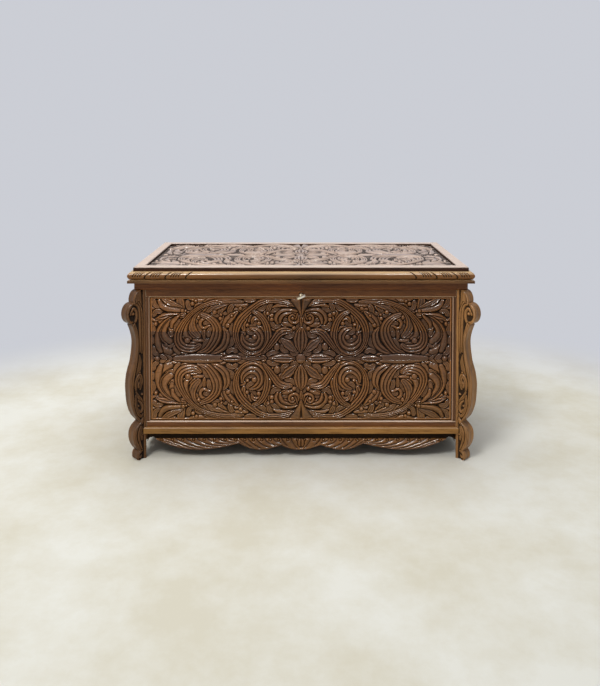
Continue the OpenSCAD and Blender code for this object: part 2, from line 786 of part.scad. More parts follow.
module link_plate()
  translate([0, lock_face + bolt_y, 0])
    difference() {
      union() {
        translate([-link_half, -link_w / 2, lid_z]) cube([2 * link_half, link_w, link_t]);
        for (s = [-1, 1])
          translate([s * ear_x - ear_t / 2, -ear_w / 2, finger_z - ear_drop])
            cube([ear_t, ear_w, lid_z - finger_z + ear_drop + link_t / 2]);
      }
      for (s = [-1, 1])
        translate([s * ear_x - ear_t, -bolt_t / 2 - slide_gap, finger_z - finger_h / 2 - slide_gap])
          cube([2 * ear_t, bolt_t + 2 * slide_gap, finger_h + 2 * slide_gap]);
      for (x = link_screw_x) translate([x, 0, lid_z + link_t]) mirror([0, 0, 1]) screw_hole(link_t);
    }
module link_recess()
  translate([0, lock_face + bolt_y, 0]) {
    translate([-link_half, -link_w / 2, lid_z - 1]) cube([2 * link_half, link_w, link_t + 1]);
    for (x = link_screw_x) translate([x, 0, lid_z]) cylinder(r = screw_shank, h = screw_len);
  }

// ---------------------------------------------------------------- lining and tray

// The tray slides along under the lock
tray_lock_gap = 7;
tray_z = lock_lo - tray_lock_gap - tray_h;
tray_d = lined_d - 2 * tray_gap;
tray_x = -lined_w / 2 + tray_gap;
tray_base = 3;
tray_base_up = 0.5;
divider_t = 4;
divider_drop = 4;
roll_zone = 98;
batten_w = 10;
notch_r = 14;

module wall_linings() {
  h = wall_top - 1 - pad_z;
  cut = lock_half + flange + 1;
  difference() {
    union() {
      for (n = [0, 2]) on_side(n) translate([-inner_w / 2, wall_t, pad_z]) cube([inner_w, lining_t, h]);
    }
    translate([-cut, -case_d / 2, lock_lo - 1]) cube([2 * cut, wall_t + lining_t + 1, lock_h + 2]);
  }
  for (n = [1, 3])
    on_side(n) translate([-lined_d / 2 + seam, wall_t, pad_z]) cube([lined_d - 2 * seam, lining_t, h]);
}

module tray_runners()
  for (n = [0, 2])
    on_side(n)
      translate([-lined_w / 2, wall_t + lining_t, tray_z - tray_gap - runner])
        cube([lined_w, runner, runner]);

module tray_place() translate([tray_x, -tray_d / 2, tray_z]) children();

module tray_walls()
  tray_place() {
    end_len = tray_d - 2 * tray_wall - 2 * seam;
    cube([tray_w, tray_wall, tray_h]);
    translate([0, tray_d - tray_wall, 0]) cube([tray_w, tray_wall, tray_h]);
    translate([0, tray_wall + seam, 0]) cube([tray_wall, end_len, tray_h]);
    difference() {
      translate([tray_w - tray_wall, tray_wall + seam, 0]) cube([tray_wall, end_len, tray_h]);
      translate([tray_w - tray_wall / 2, tray_d / 2, tray_h])
        rotate([0, 90, 0]) cylinder(r = notch_r, h = tray_wall + 2, center = true);
    }
  }

module tray_bottom()
  tray_place()
    translate([tray_wall, tray_wall, tray_base_up])
      cube([tray_w - 2 * tray_wall, tray_d - 2 * tray_wall, tray_base]);

module tray_dividers()
  tray_place() {
    z = tray_base_up + tray_base;
    h = tray_h - z - divider_drop;
    translate([tray_wall, roll_zone + tray_wall, z]) cube([tray_w - 2 * tray_wall, divider_t, h]);
    y = roll_zone + tray_wall + divider_t + seam;
    for (k = [1, 2])
      translate([tray_wall + (tray_w - 2 * tray_wall) * k / 3 - divider_t / 2, y, z])
        cube([divider_t, tray_d - tray_wall - y, h]);
  }

roll_gap = 0.6;
roll_end = 0.5;
rolls = floor(roll_zone / (2 * roll_r + roll_gap));
module ring_rolls()
  tray_place() {
    pitch = roll_zone / rolls;
    roll_z = tray_base_up + tray_base + seam + roll_r;
    for (k = [0 : rolls - 1])
      translate([tray_wall + roll_end, tray_wall + pitch * (k + 0.5), roll_z])
        rotate([0, 90, 0]) cylinder(r = roll_r, h = tray_w - 2 * tray_wall - 2 * roll_end);
  }

// ---------------------------------------------------------------- colours

module wood() color("#7a5233") children();
module dark_wood() color("#55371f") children();
module velvet() color("#6d1024") children();
module brass() color("#c09a4a") children();

// A board of the front, with its share of the carving
module front_board(k)
  wood() difference() {
    on_side(0) {
      board(0, k);
      translate([0, ground_depth + board_t / 2, 0])
        rotate([90, 0, 0])
          linear_extrude(board_t / 2 + relief_h)
            intersection() {
              translate([0, (open_lo + open_hi) / 2]) carving(case_w / 2 - stile_w, open_h / 2, $steps = 2);
              translate([-case_w / 2, open_hi - board_splits[k + 1] * open_h + seam])
                square([case_w, (board_splits[k + 1] - board_splits[k]) * open_h - seam]);
            }
    }
    if (k == 0) keyhole_cut(-case_d / 2 - 1, -case_d / 2 + wall_t);
  }

// ---------------------------------------------------------------- nodes

wood() difference() {  // front_top_rail
    on_side(0) top_rail(0);
    keyhole_cut(-case_d / 2 - 1, -case_d / 2 + wall_t + 1);
    at_lock_screws(lock_face - screw_len) cylinder(r = screw_shank, h = screw_len);
  }
wood() on_side(0) bottom_rail(0);  // front_bottom_rail
wood() on_side(0) stile(0);  // front_left_stile
wood() on_side(0) mirror([1, 0, 0]) stile(0);  // front_right_stile
front_board(0);  // front_board_1
front_board(1);  // front_board_2
front_board(2);  // front_board_3
front_board(3);  // front_board_4
wood() on_side(3) frame_members(3);  // left_side_frame
wood() on_side(3) for (k = [0 : 3]) board(3, k);  // left_side_boards
wood() on_side(1) frame_members(1);  // right_side_frame
wood() on_side(1) for (k = [0 : 3]) board(1, k);  // right_side_boards
dark_wood() on_side(2) frame_members(2);  // back_frame
dark_wood() on_side(2) for (k = [0 : 3]) board(2, k);  // back_boards

wood() difference() {  // rim_front
    on_side(0) rim(0);
    at_lock_screws(lock_face - screw_len) cylinder(r = screw_shank, h = screw_len);
  }
wood() difference() {  // rim_back
    on_side(2) rim(2);
    hinge_pockets(rim_top - leaf_t, rim_top + 1)
      for (x = screw_x) translate([x, screw_y, rim_top - screw_len]) cylinder(r = screw_shank, h = screw_len);
  }
wood() on_side(3) rim(3);  // rim_left
wood() on_side(1) rim(1);  // rim_right
wood() on_side(0) base_strip(0);  // base_strip_front
wood() on_side(2) base_strip(2);  // base_strip_back
wood() on_side(3) base_strip(3);  // base_strip_left
wood() on_side(1) base_strip(1);  // base_strip_right
wood() on_side(0) apron(0);  // front_apron
wood() on_side(2) apron(2);  // back_apron
wood() on_side(3) apron(3);  // left_apron
wood() on_side(1) apron(1);  // right_apron
wood() on_corner(-1, -1) leg();  // leg_front_left
wood() on_corner(1, -1) leg();  // leg_front_right
wood() on_corner(-1, 1) leg();  // leg_back_left
wood() on_corner(1, 1) leg();  // leg_back_right

dark_wood() translate([-inner_w / 2, -inner_d / 2, floor_z - bottom_t]) cube([inner_w, inner_d, bottom_t]);  // bottom_board
dark_wood() for (n = [0 : 3])  // bottom_battens
    on_side(n)
      translate([0, wall_t, base_z])
        linear_extrude(strip_h) mitre_plan(side_len(n) - 2 * wall_t, 0, batten_w);
velvet() translate([-inner_w / 2, -inner_d / 2, floor_z]) cube([inner_w, inner_d, floor_pad_t]);  // floor_pad
velvet() wall_linings();
dark_wood() tray_runners();
wood() tray_walls();
wood() tray_dividers();
velvet() tray_bottom();
velvet() ring_rolls();

brass() lock_case();
brass() lock_bolt();
brass() key_in_place();  // key
brass() at_lock_screws(lock_face + lock_plate) screw(screw_len);  // lock_screws
brass() link_plate();
brass() for (x = link_screw_x)  // link_plate_screws
    translate([x, lock_face + bolt_y, lid_z]) mirror([0, 0, 1]) screw(screw_len);

wood() difference() {  // lid_moulding_front
    on_side(0) lid_moulding(0);
    link_recess();
  }
wood() difference() {  // lid_moulding_back
    on_side(2) lid_moulding(2);
    hinge_pockets(lid_z - 1, lid_z + leaf_t)
      for (x = screw_x) translate([x, screw_y, lid_z]) cylinder(r = screw_shank, h = screw_len);
  }
wood() on_side(3) lid_moulding(3);  // lid_moulding_left
wood() on_side(1) lid_moulding(1);  // lid_moulding_right
wood() for (n = [0 : 3]) on_side(n) border(n);  // lid_border
wood() for (k = [0 : 3]) lid_board(k, 4);  // lid_boards
velvet() lid_pad();  // lid_lining

brass() translate([-hinge_x, 0, 0]) case_leaf();  // hinge_left_case_leaf
brass() translate([hinge_x, 0, 0]) case_leaf();  // hinge_right_case_leaf
brass() translate([-hinge_x, 0, 0]) lid_leaf();  // hinge_left_lid_leaf
brass() translate([hinge_x, 0, 0]) lid_leaf();  // hinge_right_lid_leaf
brass() for (s = [-1, 1])  // hinge_pins
    translate([s * hinge_x, axis_y, axis_z])
      rotate([0, 90, 0]) cylinder(r = pin_r, h = hinge_len + 2 * pin_end, center = true);
brass() for (s = [-1, 1], x = screw_x) translate([s * hinge_x + x, screw_y, rim_top]) screw(screw_len);  // hinge_case_screws
brass() for (s = [-1, 1], x = screw_x)  // hinge_lid_screws
    translate([s * hinge_x + x, screw_y, lid_z]) mirror([0, 0, 1]) screw(screw_len);
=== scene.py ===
# %% [markdown]
# # A carved walnut jewelry box
#
# The box is framed and panelled in walnut. Its front, its ends and its lid carry deep acanthus
# scrolls, four scroll legs stand diagonally on its corners, and velvet lines the inside. A key
# stands in the lock.
#
# The construction comes from a fixed frame of plain, exact solids. This script adds what they leave
# out: the carving, the padded velvet, the finishes, the light and the camera. All of it could be
# sculpted and painted by hand in Blender. Here every surface is worked out from numbers, so that it
# can be read, changed and built again.
#
# The first cell loads the frame and measures it.

# %% Load the frame
import json
import math

import bpy
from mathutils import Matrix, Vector
import numpy as np


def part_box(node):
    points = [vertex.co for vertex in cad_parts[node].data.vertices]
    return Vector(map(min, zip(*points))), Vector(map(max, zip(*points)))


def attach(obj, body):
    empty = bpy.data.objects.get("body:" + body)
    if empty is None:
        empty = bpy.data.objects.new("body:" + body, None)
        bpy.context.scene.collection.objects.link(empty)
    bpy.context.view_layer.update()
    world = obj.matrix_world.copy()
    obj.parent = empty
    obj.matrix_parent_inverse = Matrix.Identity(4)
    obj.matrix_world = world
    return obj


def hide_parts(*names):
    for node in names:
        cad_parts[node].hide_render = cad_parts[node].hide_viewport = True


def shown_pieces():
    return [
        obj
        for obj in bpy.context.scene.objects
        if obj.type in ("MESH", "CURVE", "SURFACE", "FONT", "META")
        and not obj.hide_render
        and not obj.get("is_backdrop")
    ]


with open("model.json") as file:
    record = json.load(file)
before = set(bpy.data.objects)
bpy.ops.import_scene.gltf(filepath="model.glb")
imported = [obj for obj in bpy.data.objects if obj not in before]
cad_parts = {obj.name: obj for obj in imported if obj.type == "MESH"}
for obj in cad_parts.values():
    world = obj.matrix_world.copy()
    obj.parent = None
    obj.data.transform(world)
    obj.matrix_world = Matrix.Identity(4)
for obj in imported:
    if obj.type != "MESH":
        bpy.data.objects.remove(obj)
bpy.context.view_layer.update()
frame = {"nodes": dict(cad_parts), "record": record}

MM = 0.001
nodes = frame["nodes"]

# %% [markdown]
# ## Sizes
#
# A joiner marks each part out from the case itself rather than from a list of figures. The same is
# done here: places are measured from the solids, in millimetres, so that the carving lies on the
# boards that hold it. Typing the numbers in would be shorter, but they would drift apart. Only two
# sizes are typed in, because the outer measures of a solid don't tell them. The corner lines are
# where the planes of the front and the end faces would meet.

# %% Measure the case
def span(node):
    """Lowest and highest corner of a solid in millimetres."""
    low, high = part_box(node)
    return np.array(low) / MM, np.array(high) / MM


LEG_T = 16.0  # thickness of a leg, which stands diagonally
GROUND = 5.0  # depth of the carved ground behind the face of a wall
rail_low, rail_high = span("front_bottom_rail")
top_low, top_high = span("front_top_rail")
HALF_D = -rail_low[1]
HALF_W = -span("left_side_frame")[0][0]
STILE = HALF_W + span("front_left_stile")[1][0]  # from a corner line to the opening beside it
BASE_Z, WALL_TOP = rail_low[2], top_high[2]
OPEN_LOW, OPEN_HIGH = rail_high[2], top_low[2]
MID_Z = (OPEN_LOW + OPEN_HIGH) / 2
HALF_OPEN_H = (OPEN_HIGH - OPEN_LOW) / 2
print("corner lines", HALF_W, HALF_D, "stile", STILE, "opening", OPEN_LOW, OPEN_HIGH)

# %% [markdown]
# The four walls are built alike, each turned a quarter from the last. A piece could be modelled at
# the front and its object turned, but its own coordinates would turn with it, and the wood grain is
# read in those. So the points are turned, and every object stays unturned at the origin.

# %% A place on any wall
def on_side(n, a, depth, z):
    """Points of wall n (0 front, 1 right, 2 back, 3 left): a runs along the wall, depth goes in
    from its face and z is the height. The wall is turned n quarters about the middle of the box."""
    out = -(HALF_D if n % 2 == 0 else HALF_W) + depth
    a, out, z = np.broadcast_arrays(a, out, z)
    x, y = [(a, out), (-out, a), (-a, -out), (out, -a)][n]
    return np.stack([x, y, z], -1) * MM


print("top of the right wall, middle, in metres:", on_side(1, 0, 0, WALL_TOP))

# %% [markdown]
# ## From arrays to a mesh
#
# A mesh is a list of points and a list of faces. Blender's editing tools can build it face by face,
# which is slow for the million faces that carving needs. So each new piece is worked out as whole
# numpy arrays, and one helper hands them over at once. It also makes the faces look outwards: the
# volume that they enclose comes out negative when they look inwards.

# %% Put arrays into a mesh
def put(name, points, quads, caps=()):
    """A mesh object from points (n, 3), quads (m, 4) and a few longer loops. The faces are turned
    round if the enclosed volume, a sum of tetrahedra about the origin, comes out negative."""
    points = np.asarray(points, float).reshape(-1, 3)
    loops = [quads.ravel(), *[np.asarray(c) for c in caps]]
    sizes = np.concatenate([np.full(len(quads), 4), [len(c) for c in caps]]).astype(int)
    a, b, c, d = (points[quads[:, k]] for k in range(4))
    volume = np.einsum("ij,ij->", a, np.cross(b, c)) + np.einsum("ij,ij->", a, np.cross(c, d))
    for cap in caps:
        p = points[cap]
        volume += np.einsum("ij,ij->", np.cross(p[1:-1], p[2:]), np.broadcast_to(p[0], p[2:].shape))
    if volume < 0:
        loops = [quads[:, ::-1].ravel(), *[np.asarray(c)[::-1] for c in caps]]
    mesh = bpy.data.meshes.new(name)
    flat = np.concatenate(loops).astype(np.int32)
    mesh.vertices.add(len(points))
    mesh.vertices.foreach_set("co", points.astype(np.float32).ravel())
    mesh.loops.add(len(flat))
    mesh.loops.foreach_set("vertex_index", flat)
    mesh.polygons.add(len(sizes))
    mesh.polygons.foreach_set("loop_start", (np.cumsum(sizes) - sizes).astype(np.int32))
    mesh.polygons.foreach_set("use_smooth", np.arange(len(sizes)) < len(quads))
    mesh.update(calc_edges=True)
    piece = bpy.data.objects.new(name, mesh)
    bpy.context.scene.collection.objects.link(piece)
    return piece


def grid_quads(rows, columns, closed=False):
    """Quads of a grid of points numbered row by row. A closed grid joins its last column to its
    first."""
    i = np.arange(rows - 1)[:, None]
    j = np.arange(columns if closed else columns - 1)[None, :]
    right = (j + 1) % columns
    ring = (i * columns + j, (i + 1) * columns + j, (i + 1) * columns + right, i * columns + right)
    return np.stack(np.broadcast_arrays(*ring), -1).reshape(-1, 4)


def paint(piece, **values):
    """Stores numbers on the points of a mesh, for its material to read."""
    for name, value in values.items():
        spare = len(piece.data.vertices) - value.size
        full = np.concatenate([value.ravel(), np.zeros(spare)]).astype(np.float32)
        piece.data.attributes.new(name, "FLOAT", "POINT").data.foreach_set("value", full)


print("a grid of 3 by 4 points has", len(grid_quads(3, 4)), "quads")

# %% [markdown]
# Two kinds of skin cover nearly all that follows. A board is a carved face closed by a flat back. A
# loft joins rings of points one after another. The backs could be left open, as most of them are
# hidden, but a closed skin shows no thin edge when the lid is lifted.

# %% Boards and lofts
def board(name, face, back_low, back_high):
    """A closed board: face is a grid of points (nu, nv, 3), and the back is flat between the two
    rows of points back_low and back_high (nu, 3). The two ends are single flat loops."""
    nu, nv = face.shape[:2]
    points = np.concatenate([face.reshape(-1, 3), back_low, back_high])
    i = np.arange(nu - 1)
    low, high = nu * nv + i, nu * nv + nu + i
    foot, head = i * nv, i * nv + nv - 1
    walls = [np.stack([foot + nv, foot, low, low + 1], 1),
             np.stack([head, head + nv, high + 1, high], 1),
             np.stack([low + 1, low, high, high + 1], 1)]
    quads = np.concatenate([grid_quads(nu, nv), *walls])
    last = (nu - 1) * nv
    caps = [[*range(nv), nu * nv + nu, nu * nv],
            [*range(last + nv - 1, last - 1, -1), nu * nv + nu - 1, nu * nv + 2 * nu - 1]]
    piece = put(name, points, quads, caps)
    carved_faces = np.arange(len(quads) + 2) < (nu - 1) * (nv - 1)
    piece.data.polygons.foreach_set("use_smooth", carved_faces)
    return piece


def loft(name, rings):
    """A closed skin over rings of points (rows, columns, 3), each ring closed, with flat ends."""
    rows, columns = rings.shape[:2]
    last = (rows - 1) * columns
    caps = [list(range(columns)), list(range(last + columns - 1, last - 1, -1))]
    return put(name, rings, grid_quads(rows, columns, closed=True), caps)


print("helpers ready")

# %% [markdown]
# ## Carving with strokes
#
# A carver draws each leaf, stem and berry on the wood, then cuts from back to front: what lies on
# top keeps its full height, and what passes under it is cut down beside its edge. Sculpting brushes
# do this by hand. A height map, one height for each place of the panel, does it by rule, and the
# same map can serve the front, the ends and the lid.
#
# The map is built from strokes. A stroke follows a smooth line through a few points.

# %% Smooth lines
def smooth_line(points, step=0.7):
    """A curve through the points by the Catmull-Rom rule, which blends four neighbours with cubic
    weights, then spaced evenly: returns places (m, 2) and the share of the length at each."""
    p = np.array(points, float)
    p = np.vstack([2 * p[0] - p[1], p, 2 * p[-1] - p[-2]])
    a, b, c, d = p[:-3], p[1:-2], p[2:-1], p[3:]
    k = np.linspace(0, 1, 12, endpoint=False)[:, None, None]
    bend, twist = 2 * a - 5 * b + 4 * c - d, 3 * b - a - 3 * c + d
    q = 0.5 * (2 * b + (c - a) * k + bend * k**2 + twist * k**3)
    q = np.vstack([q.swapaxes(0, 1).reshape(-1, 2), p[-2]])
    length = np.concatenate([[0], np.cumsum(np.hypot(*np.diff(q, axis=0).T))])
    share = np.linspace(0, 1, max(int(length[-1] / step), 3) + 1)
    return np.stack([np.interp(share * length[-1], length, q[:, k]) for k in (0, 1)], 1), share


def ease(x):
    """Runs smoothly from 0 to 1 as x goes from 0 to 1: three times its square less twice its cube."""
    x = np.clip(x, 0, 1)
    return x * x * (3 - 2 * x)


print("places along a line of 10 mm:", len(smooth_line([(0, 0), (5, 0), (10, 0)])[0]))

# %% [markdown]
# Across its width a stroke has a section, as a gouge would leave it: round reeds side by side, a
# hollow leaf with raised rims and a vein, a bud with a slit, or a plain dome. Sections could also be
# read from a drawn curve. A formula is shorter and stays sharp at any width.

# %% Sections
def section(kind, q):
    """Height across a stroke, for q from -1 at one edge to 1 at the other. Whole numbers are that
    many reeds, the sine of a half turn each. A leaf is hollow with raised rims and a vein. A slit
    bud and a smooth stroke are half cosines, and the bud has a groove down its middle."""
    wall = 1 - np.abs(q) ** 8
    if kind == "leaf":
        rim = np.exp(-(((np.abs(q) - 0.72) / 0.2) ** 2))
        vein = np.exp(-((q / 0.16) ** 2))
        return wall * (0.5 + 0.5 * rim + 0.28 * vein)
    if kind == "slit":
        return wall * (0.45 + 0.55 * np.cos(q * math.pi / 2)) * (1 - 0.85 * np.exp(-((q / 0.13) ** 2)))
    if kind == "smooth":
        return wall * (0.8 + 0.2 * np.cos(q * math.pi / 2))
    reeds = np.minimum(np.abs(np.sin(kind * math.pi * (q + 1) / 2)) * 1.25, 1) ** 0.8
    lean = 0.12 * np.sin(kind * math.pi * (q + 1))
    return wall * (0.34 + 0.62 * reeds + lean) * (1 - 0.1 * q * q)


print("three sections:", [round(float(section(k, np.array(0.7))), 2) for k in (1, "leaf", "slit")])

# %% [markdown]
# Laying a stroke means asking, for every place of the map nearby, where on the line it is nearest.
# Painting thick lines into a picture would be faster, but this way each place knows how far along
# and how far across the stroke it lies. A berry is simpler, as only the distance from its middle
# counts.

# %% Lay strokes and berries
def lay(height, u, v, kind, top, widths, points, moat=1.3):
    """Lays one stroke on the height map. Each point of the map takes the nearest place on the
    line: q is its distance over the width there. Inside, the section times `top` replaces what was
    there, and sinks a little towards both tips. Outside, what was there is cut down within `moat`
    of the edge."""
    line, share = smooth_line(points)
    width = np.interp(share, np.linspace(0, 1, len(widths)), widths)
    reach = width.max() + moat
    near = ((u > line[:, 0].min() - reach) & (u < line[:, 0].max() + reach)
            & (v > line[:, 1].min() - reach) & (v < line[:, 1].max() + reach))
    if not near.any():
        return
    pu, pv = u[near], v[near]
    far = (pu[:, None] - line[:, 0]) ** 2 + (pv[:, None] - line[:, 1]) ** 2
    best = far.argmin(1)
    along = np.gradient(line, axis=0)
    along /= np.hypot(*along.T)[:, None] + 1e-9
    du, dv = pu - line[best, 0], pv - line[best, 1]
    run = du * along[best, 0] + dv * along[best, 1]
    inner = (best > 0) & (best < len(line) - 1)
    distance = np.sqrt(np.maximum(du**2 + dv**2 - np.where(inner, run, 0) ** 2, 0))
    side = np.sign(along[best, 0] * dv - along[best, 1] * du)
    q = side * distance / width[best]
    old = height[near]
    cut = ease((distance - width[best]) / moat)
    tips = 0.72 + 0.28 * ease(np.minimum(share[best], 1 - share[best]) * 5)
    new = top * tips * section(kind, np.clip(q, -1, 1))
    height[near] = np.where(np.abs(q) < 1, np.maximum(new, 0.25 * old), old * (0.12 + 0.88 * cut))


def dot(height, u, v, top, centre, radius, stretch=1.0, moat=1.1):
    """Lays a berry: a dome that stands in a ring cut down to the ground, as wide as the moat."""
    far = np.hypot((u - centre[0]), (v - centre[1]) / stretch) / radius
    ring = ease((far - 1.0) * radius / moat)
    height[...] = np.where(far < 1, top * (0.35 + 0.65 * np.sqrt(np.maximum(1 - far**2, 0))),
                           height * (0.1 + 0.9 * ring))


trial_u, trial_v = np.meshgrid(np.arange(9.0), np.arange(9.0), indexing="ij")
trial = np.ones(trial_u.shape)
dot(trial, trial_u, trial_v, 2.0, (4, 4), 2.5)
print("a cut through a berry:", np.round(trial[4], 1))

# %% [markdown]
# ## One quarter of the pattern
#
# The carving of the front is laid out the same in its four quarters, so one quarter is drawn and
# mirrored. Drawing the whole panel would allow more variety and four times the work. The origin is
# the middle of the panel, u runs to the right and v runs up, so the quarter has both below zero.
# Each motif is a list of strokes: section, height, half widths along it, and points.
#
# The outer scroll is a big ring of leaves that rolls in on itself.

# %% Outer scroll and its leaves
OUTER = [
    ("smooth", 2.2, [2, 3.4, 3], [(-180, -50), (-182.5, -43), (-182, -36)]),
    ("smooth", 2.2, [2, 4, 3], [(-173, -24), (-176, -15), (-172, -8)]),
    ("leaf", 3.2, [2, 5, 5.6, 4.2], [(-165, -71), (-168, -77), (-169.5, -82), (-170, -87)]),
    ("leaf", 3.4, [2, 4.2, 4.6, 3], [(-168, -72.5), (-178, -76), (-186, -80), (-193, -85)]),
    (1, 3.8, [2, 3.2, 4, 4.2, 2.6],
     [(-162, -67), (-175, -68.5), (-187, -70.5), (-195, -75), (-199, -82)]),
    (1, 3.4, [1.5, 3, 3.6, 2.6], [(-172, -60), (-185, -57), (-192, -54.5), (-198, -52)]),
    (2, 3.9, [2, 3.2, 4.2, 4.4, 1],
     [(-163, -62.5), (-178, -61.5), (-189, -60.5), (-197, -58.5), (-204, -56)]),
    (1, 3.8, [2, 3.4, 5, 4.4], [(-198, -22), (-193.5, -15.5), (-188.5, -11.5), (-184, -9.5)]),
    (1, 3.9, [1, 2.2, 2.8, 3.2, 3.8, 5, 3.6],
     [(-173, -60.5), (-186, -55.5), (-196, -46.5), (-201, -36), (-201.5, -25), (-199.5, -17),
      (-197, -11)]),
    (1, 3.6, [0.8, 1.3, 1.8, 1.8, 1.4, 1],
     [(-176, -59.5), (-187, -52.5), (-194, -44), (-197.3, -35), (-194.5, -27), (-187.5, -20)]),
    (1, 3.9, [1, 2.2, 2.8, 3.6, 5, 4.4],
     [(-172, -60.5), (-183, -52.5), (-190, -44.5), (-192.5, -36), (-189, -29), (-184, -24.5)]),
    (1, 3.9, [1.2, 3, 3.4, 2.6], [(-170, -62), (-176, -56), (-180.5, -50.5), (-181.5, -45)]),
    ("smooth", 3.6, [1.5, 2.6, 1.5], [(-151, -26), (-144, -25.5), (-137.5, -25.5)]),
    ("slit", 3.4, [1.8, 2.8, 1.8], [(-136, -42), (-136.5, -35), (-136, -28)]),
    (1, 3.6, [2, 2.4, 2.6, 2.6, 2.4, 2, 1.6],
     [(-121, -51), (-128, -57), (-136, -57), (-141, -52.5), (-141, -46.5), (-136.5, -43),
      (-131.5, -45.5), (-128, -46.5)]),
    (2, 3.8, [2, 4, 5.2, 5.4, 4.8, 1.5],
     [(-130, -7), (-118, -11), (-108.5, -18.5), (-104.8, -27.5), (-104.5, -36), (-109, -44)]),
    (3, 4.0, [3, 5, 6.4, 7.4, 7, 5.6, 4.6, 3.4],
     [(-144, -7), (-132, -12), (-123.5, -22), (-118.5, -33), (-118, -43), (-122, -51.5),
      (-130, -58.5), (-140, -62.5)]),
    ("leaf", 3.8, [1.5, 2.4, 4, 5, 5.6, 4],
     [(-136, -72), (-145, -66), (-151.5, -57), (-153, -47), (-150, -38.5), (-144.5, -32)]),
    (1, 4.0, [1.5, 2.4, 3.2, 4.4, 4.8, 4.2, 2.6],
     [(-140, -73), (-150, -67), (-157, -58.5), (-161.8, -48.5), (-163.2, -39), (-160.5, -31.5),
      (-155.5, -28)]),
    (3, 4.2, [2, 3.4, 3.8, 3.6, 3.2, 2.8, 2.8, 3.2, 4.2, 5.2, 6, 6.6, 6, 3.8],
     [(-82, -80), (-97, -81.8), (-112, -81.8), (-127, -78.5), (-141, -72.8), (-152, -65),
      (-161, -55.5), (-168, -45), (-172.3, -34), (-171.8, -24), (-166.5, -17), (-158, -14),
      (-149, -14.5), (-143, -18)]),
]
OUTER_BERRIES = [
    (-159.5, -25.5, 3.6, 1), (-143.5, -58.5, 2.2, 1.3), (-166, -67.5, 2.4, 1),
    (-204, -49, 2.0, 1.4), (-152, -77.5, 2.6, 1), (-147, -81.5, 2.2, 1), (-202, 0, 3.4, 0.8),
]
print("outer scroll:", len(OUTER), "strokes")

# %% [markdown]
# The inner scroll turns the other way and hooks round a berry. Between the two scrolls a bud and
# small leaves close the gap, and they are laid first, since the scrolls pass over them.

# %% Inner scroll and the leaves between
FILLERS = [
    ("smooth", 3.4, [2, 3.6, 3.4, 2], [(-156, -85), (-149, -84), (-141, -83), (-134, -86)]),
    ("leaf", 3.4, [2, 4.4, 3.4], [(-102, -80), (-109, -73), (-114, -66)]),
    ("leaf", 3.6, [2, 4.4, 5.2, 4.2, 1.5],
     [(-96, -81), (-108, -78.5), (-118, -74.5), (-127, -69.5), (-133, -65)]),
    ("leaf", 3.4, [2, 3.8, 3.6, 2], [(-93, -79), (-98.5, -72.5), (-99.5, -66), (-97, -60)]),
    ("smooth", 3.4, [2, 3, 2], [(-92, -76), (-84, -75), (-76, -76)]),
    (2, 3.6, [2.4, 5, 6, 4.6], [(-90, -66), (-97, -60), (-103, -53.5), (-106.5, -47.5)]),
    ("leaf", 3.4, [1.5, 3.8, 2.6], [(-40, -80), (-44, -73.5), (-46.5, -67)]),
    ("smooth", 3.2, [1.5, 3.2, 2], [(-12, -46), (-18, -48), (-24.5, -50)]),
]
INNER = [
    (2, 3.6, [1.5, 3.4, 3.8, 3.2, 1.6],
     [(-50, -47), (-54, -54), (-60.5, -58), (-67, -56.5), (-69, -51)]),
    (2, 3.8, [1.5, 3.2, 4.6, 4.6, 2.6],
     [(-66, -72), (-74, -65), (-79.5, -57), (-81.5, -48.5), (-80, -41)]),
    ("smooth", 3.6, [1.5, 2.8, 3, 1.4], [(-10, -74.5), (-21, -76.5), (-31, -76), (-39, -73)]),
    (3, 4.2, [3, 3.6, 4, 4, 4, 4.2, 4.8, 5.4, 5.4, 4.6, 3.8, 3.4, 3.8, 5, 5.8, 5.8, 5.2, 4.6, 4, 3],
     [(-6, -75), (-19, -80), (-32, -82.5), (-45, -82.5), (-57, -79), (-67, -72.5), (-77, -64.5),
      (-85, -55.5), (-90, -45), (-91.5, -34.5), (-90, -24.5), (-85.5, -15.5), (-78.5, -9),
      (-69.5, -6), (-60, -8.5), (-52, -15.5), (-47.5, -25), (-46.5, -36), (-48.5, -46.5),
      (-53, -56), (-59.5, -63), (-66, -66.5)]),
    (2, 4.1, [1.6, 4, 5.4, 6, 5.6, 5, 4.8, 4.2, 1.6],
     [(-82.5, -34), (-81.5, -24.5), (-75.5, -18), (-68, -16), (-61, -19), (-57, -26.5),
      (-57.5, -34.5), (-63, -40.8), (-71, -43.5)]),
    (3, 4.0, [2, 3.6, 4.8, 5.4, 5.2, 3.4],
     [(-53, -8), (-45.5, -16.5), (-38, -27), (-31.5, -35.5), (-23, -39), (-15, -38.5)]),
    (1, 3.8, [1.6, 2.4, 3, 3, 3, 1.8],
     [(-6, -67), (-17, -69.3), (-26.5, -68), (-33, -62.5), (-35.5, -55.5), (-33, -49.5)]),
    (1, 3.8, [1.4, 2.2, 2.8, 3.2, 2],
     [(-8, -64), (-17.5, -64.5), (-25, -62), (-28.8, -56.5), (-29.5, -51)]),
    (1, 3.8, [1.6, 2, 2.2, 2.4, 2.4, 2.2, 1.8],
     [(-2.5, -60), (-4.5, -53), (-9.5, -50.5), (-15, -53), (-16, -58.5), (-12.5, -61.8),
      (-9.5, -59.5)]),
]
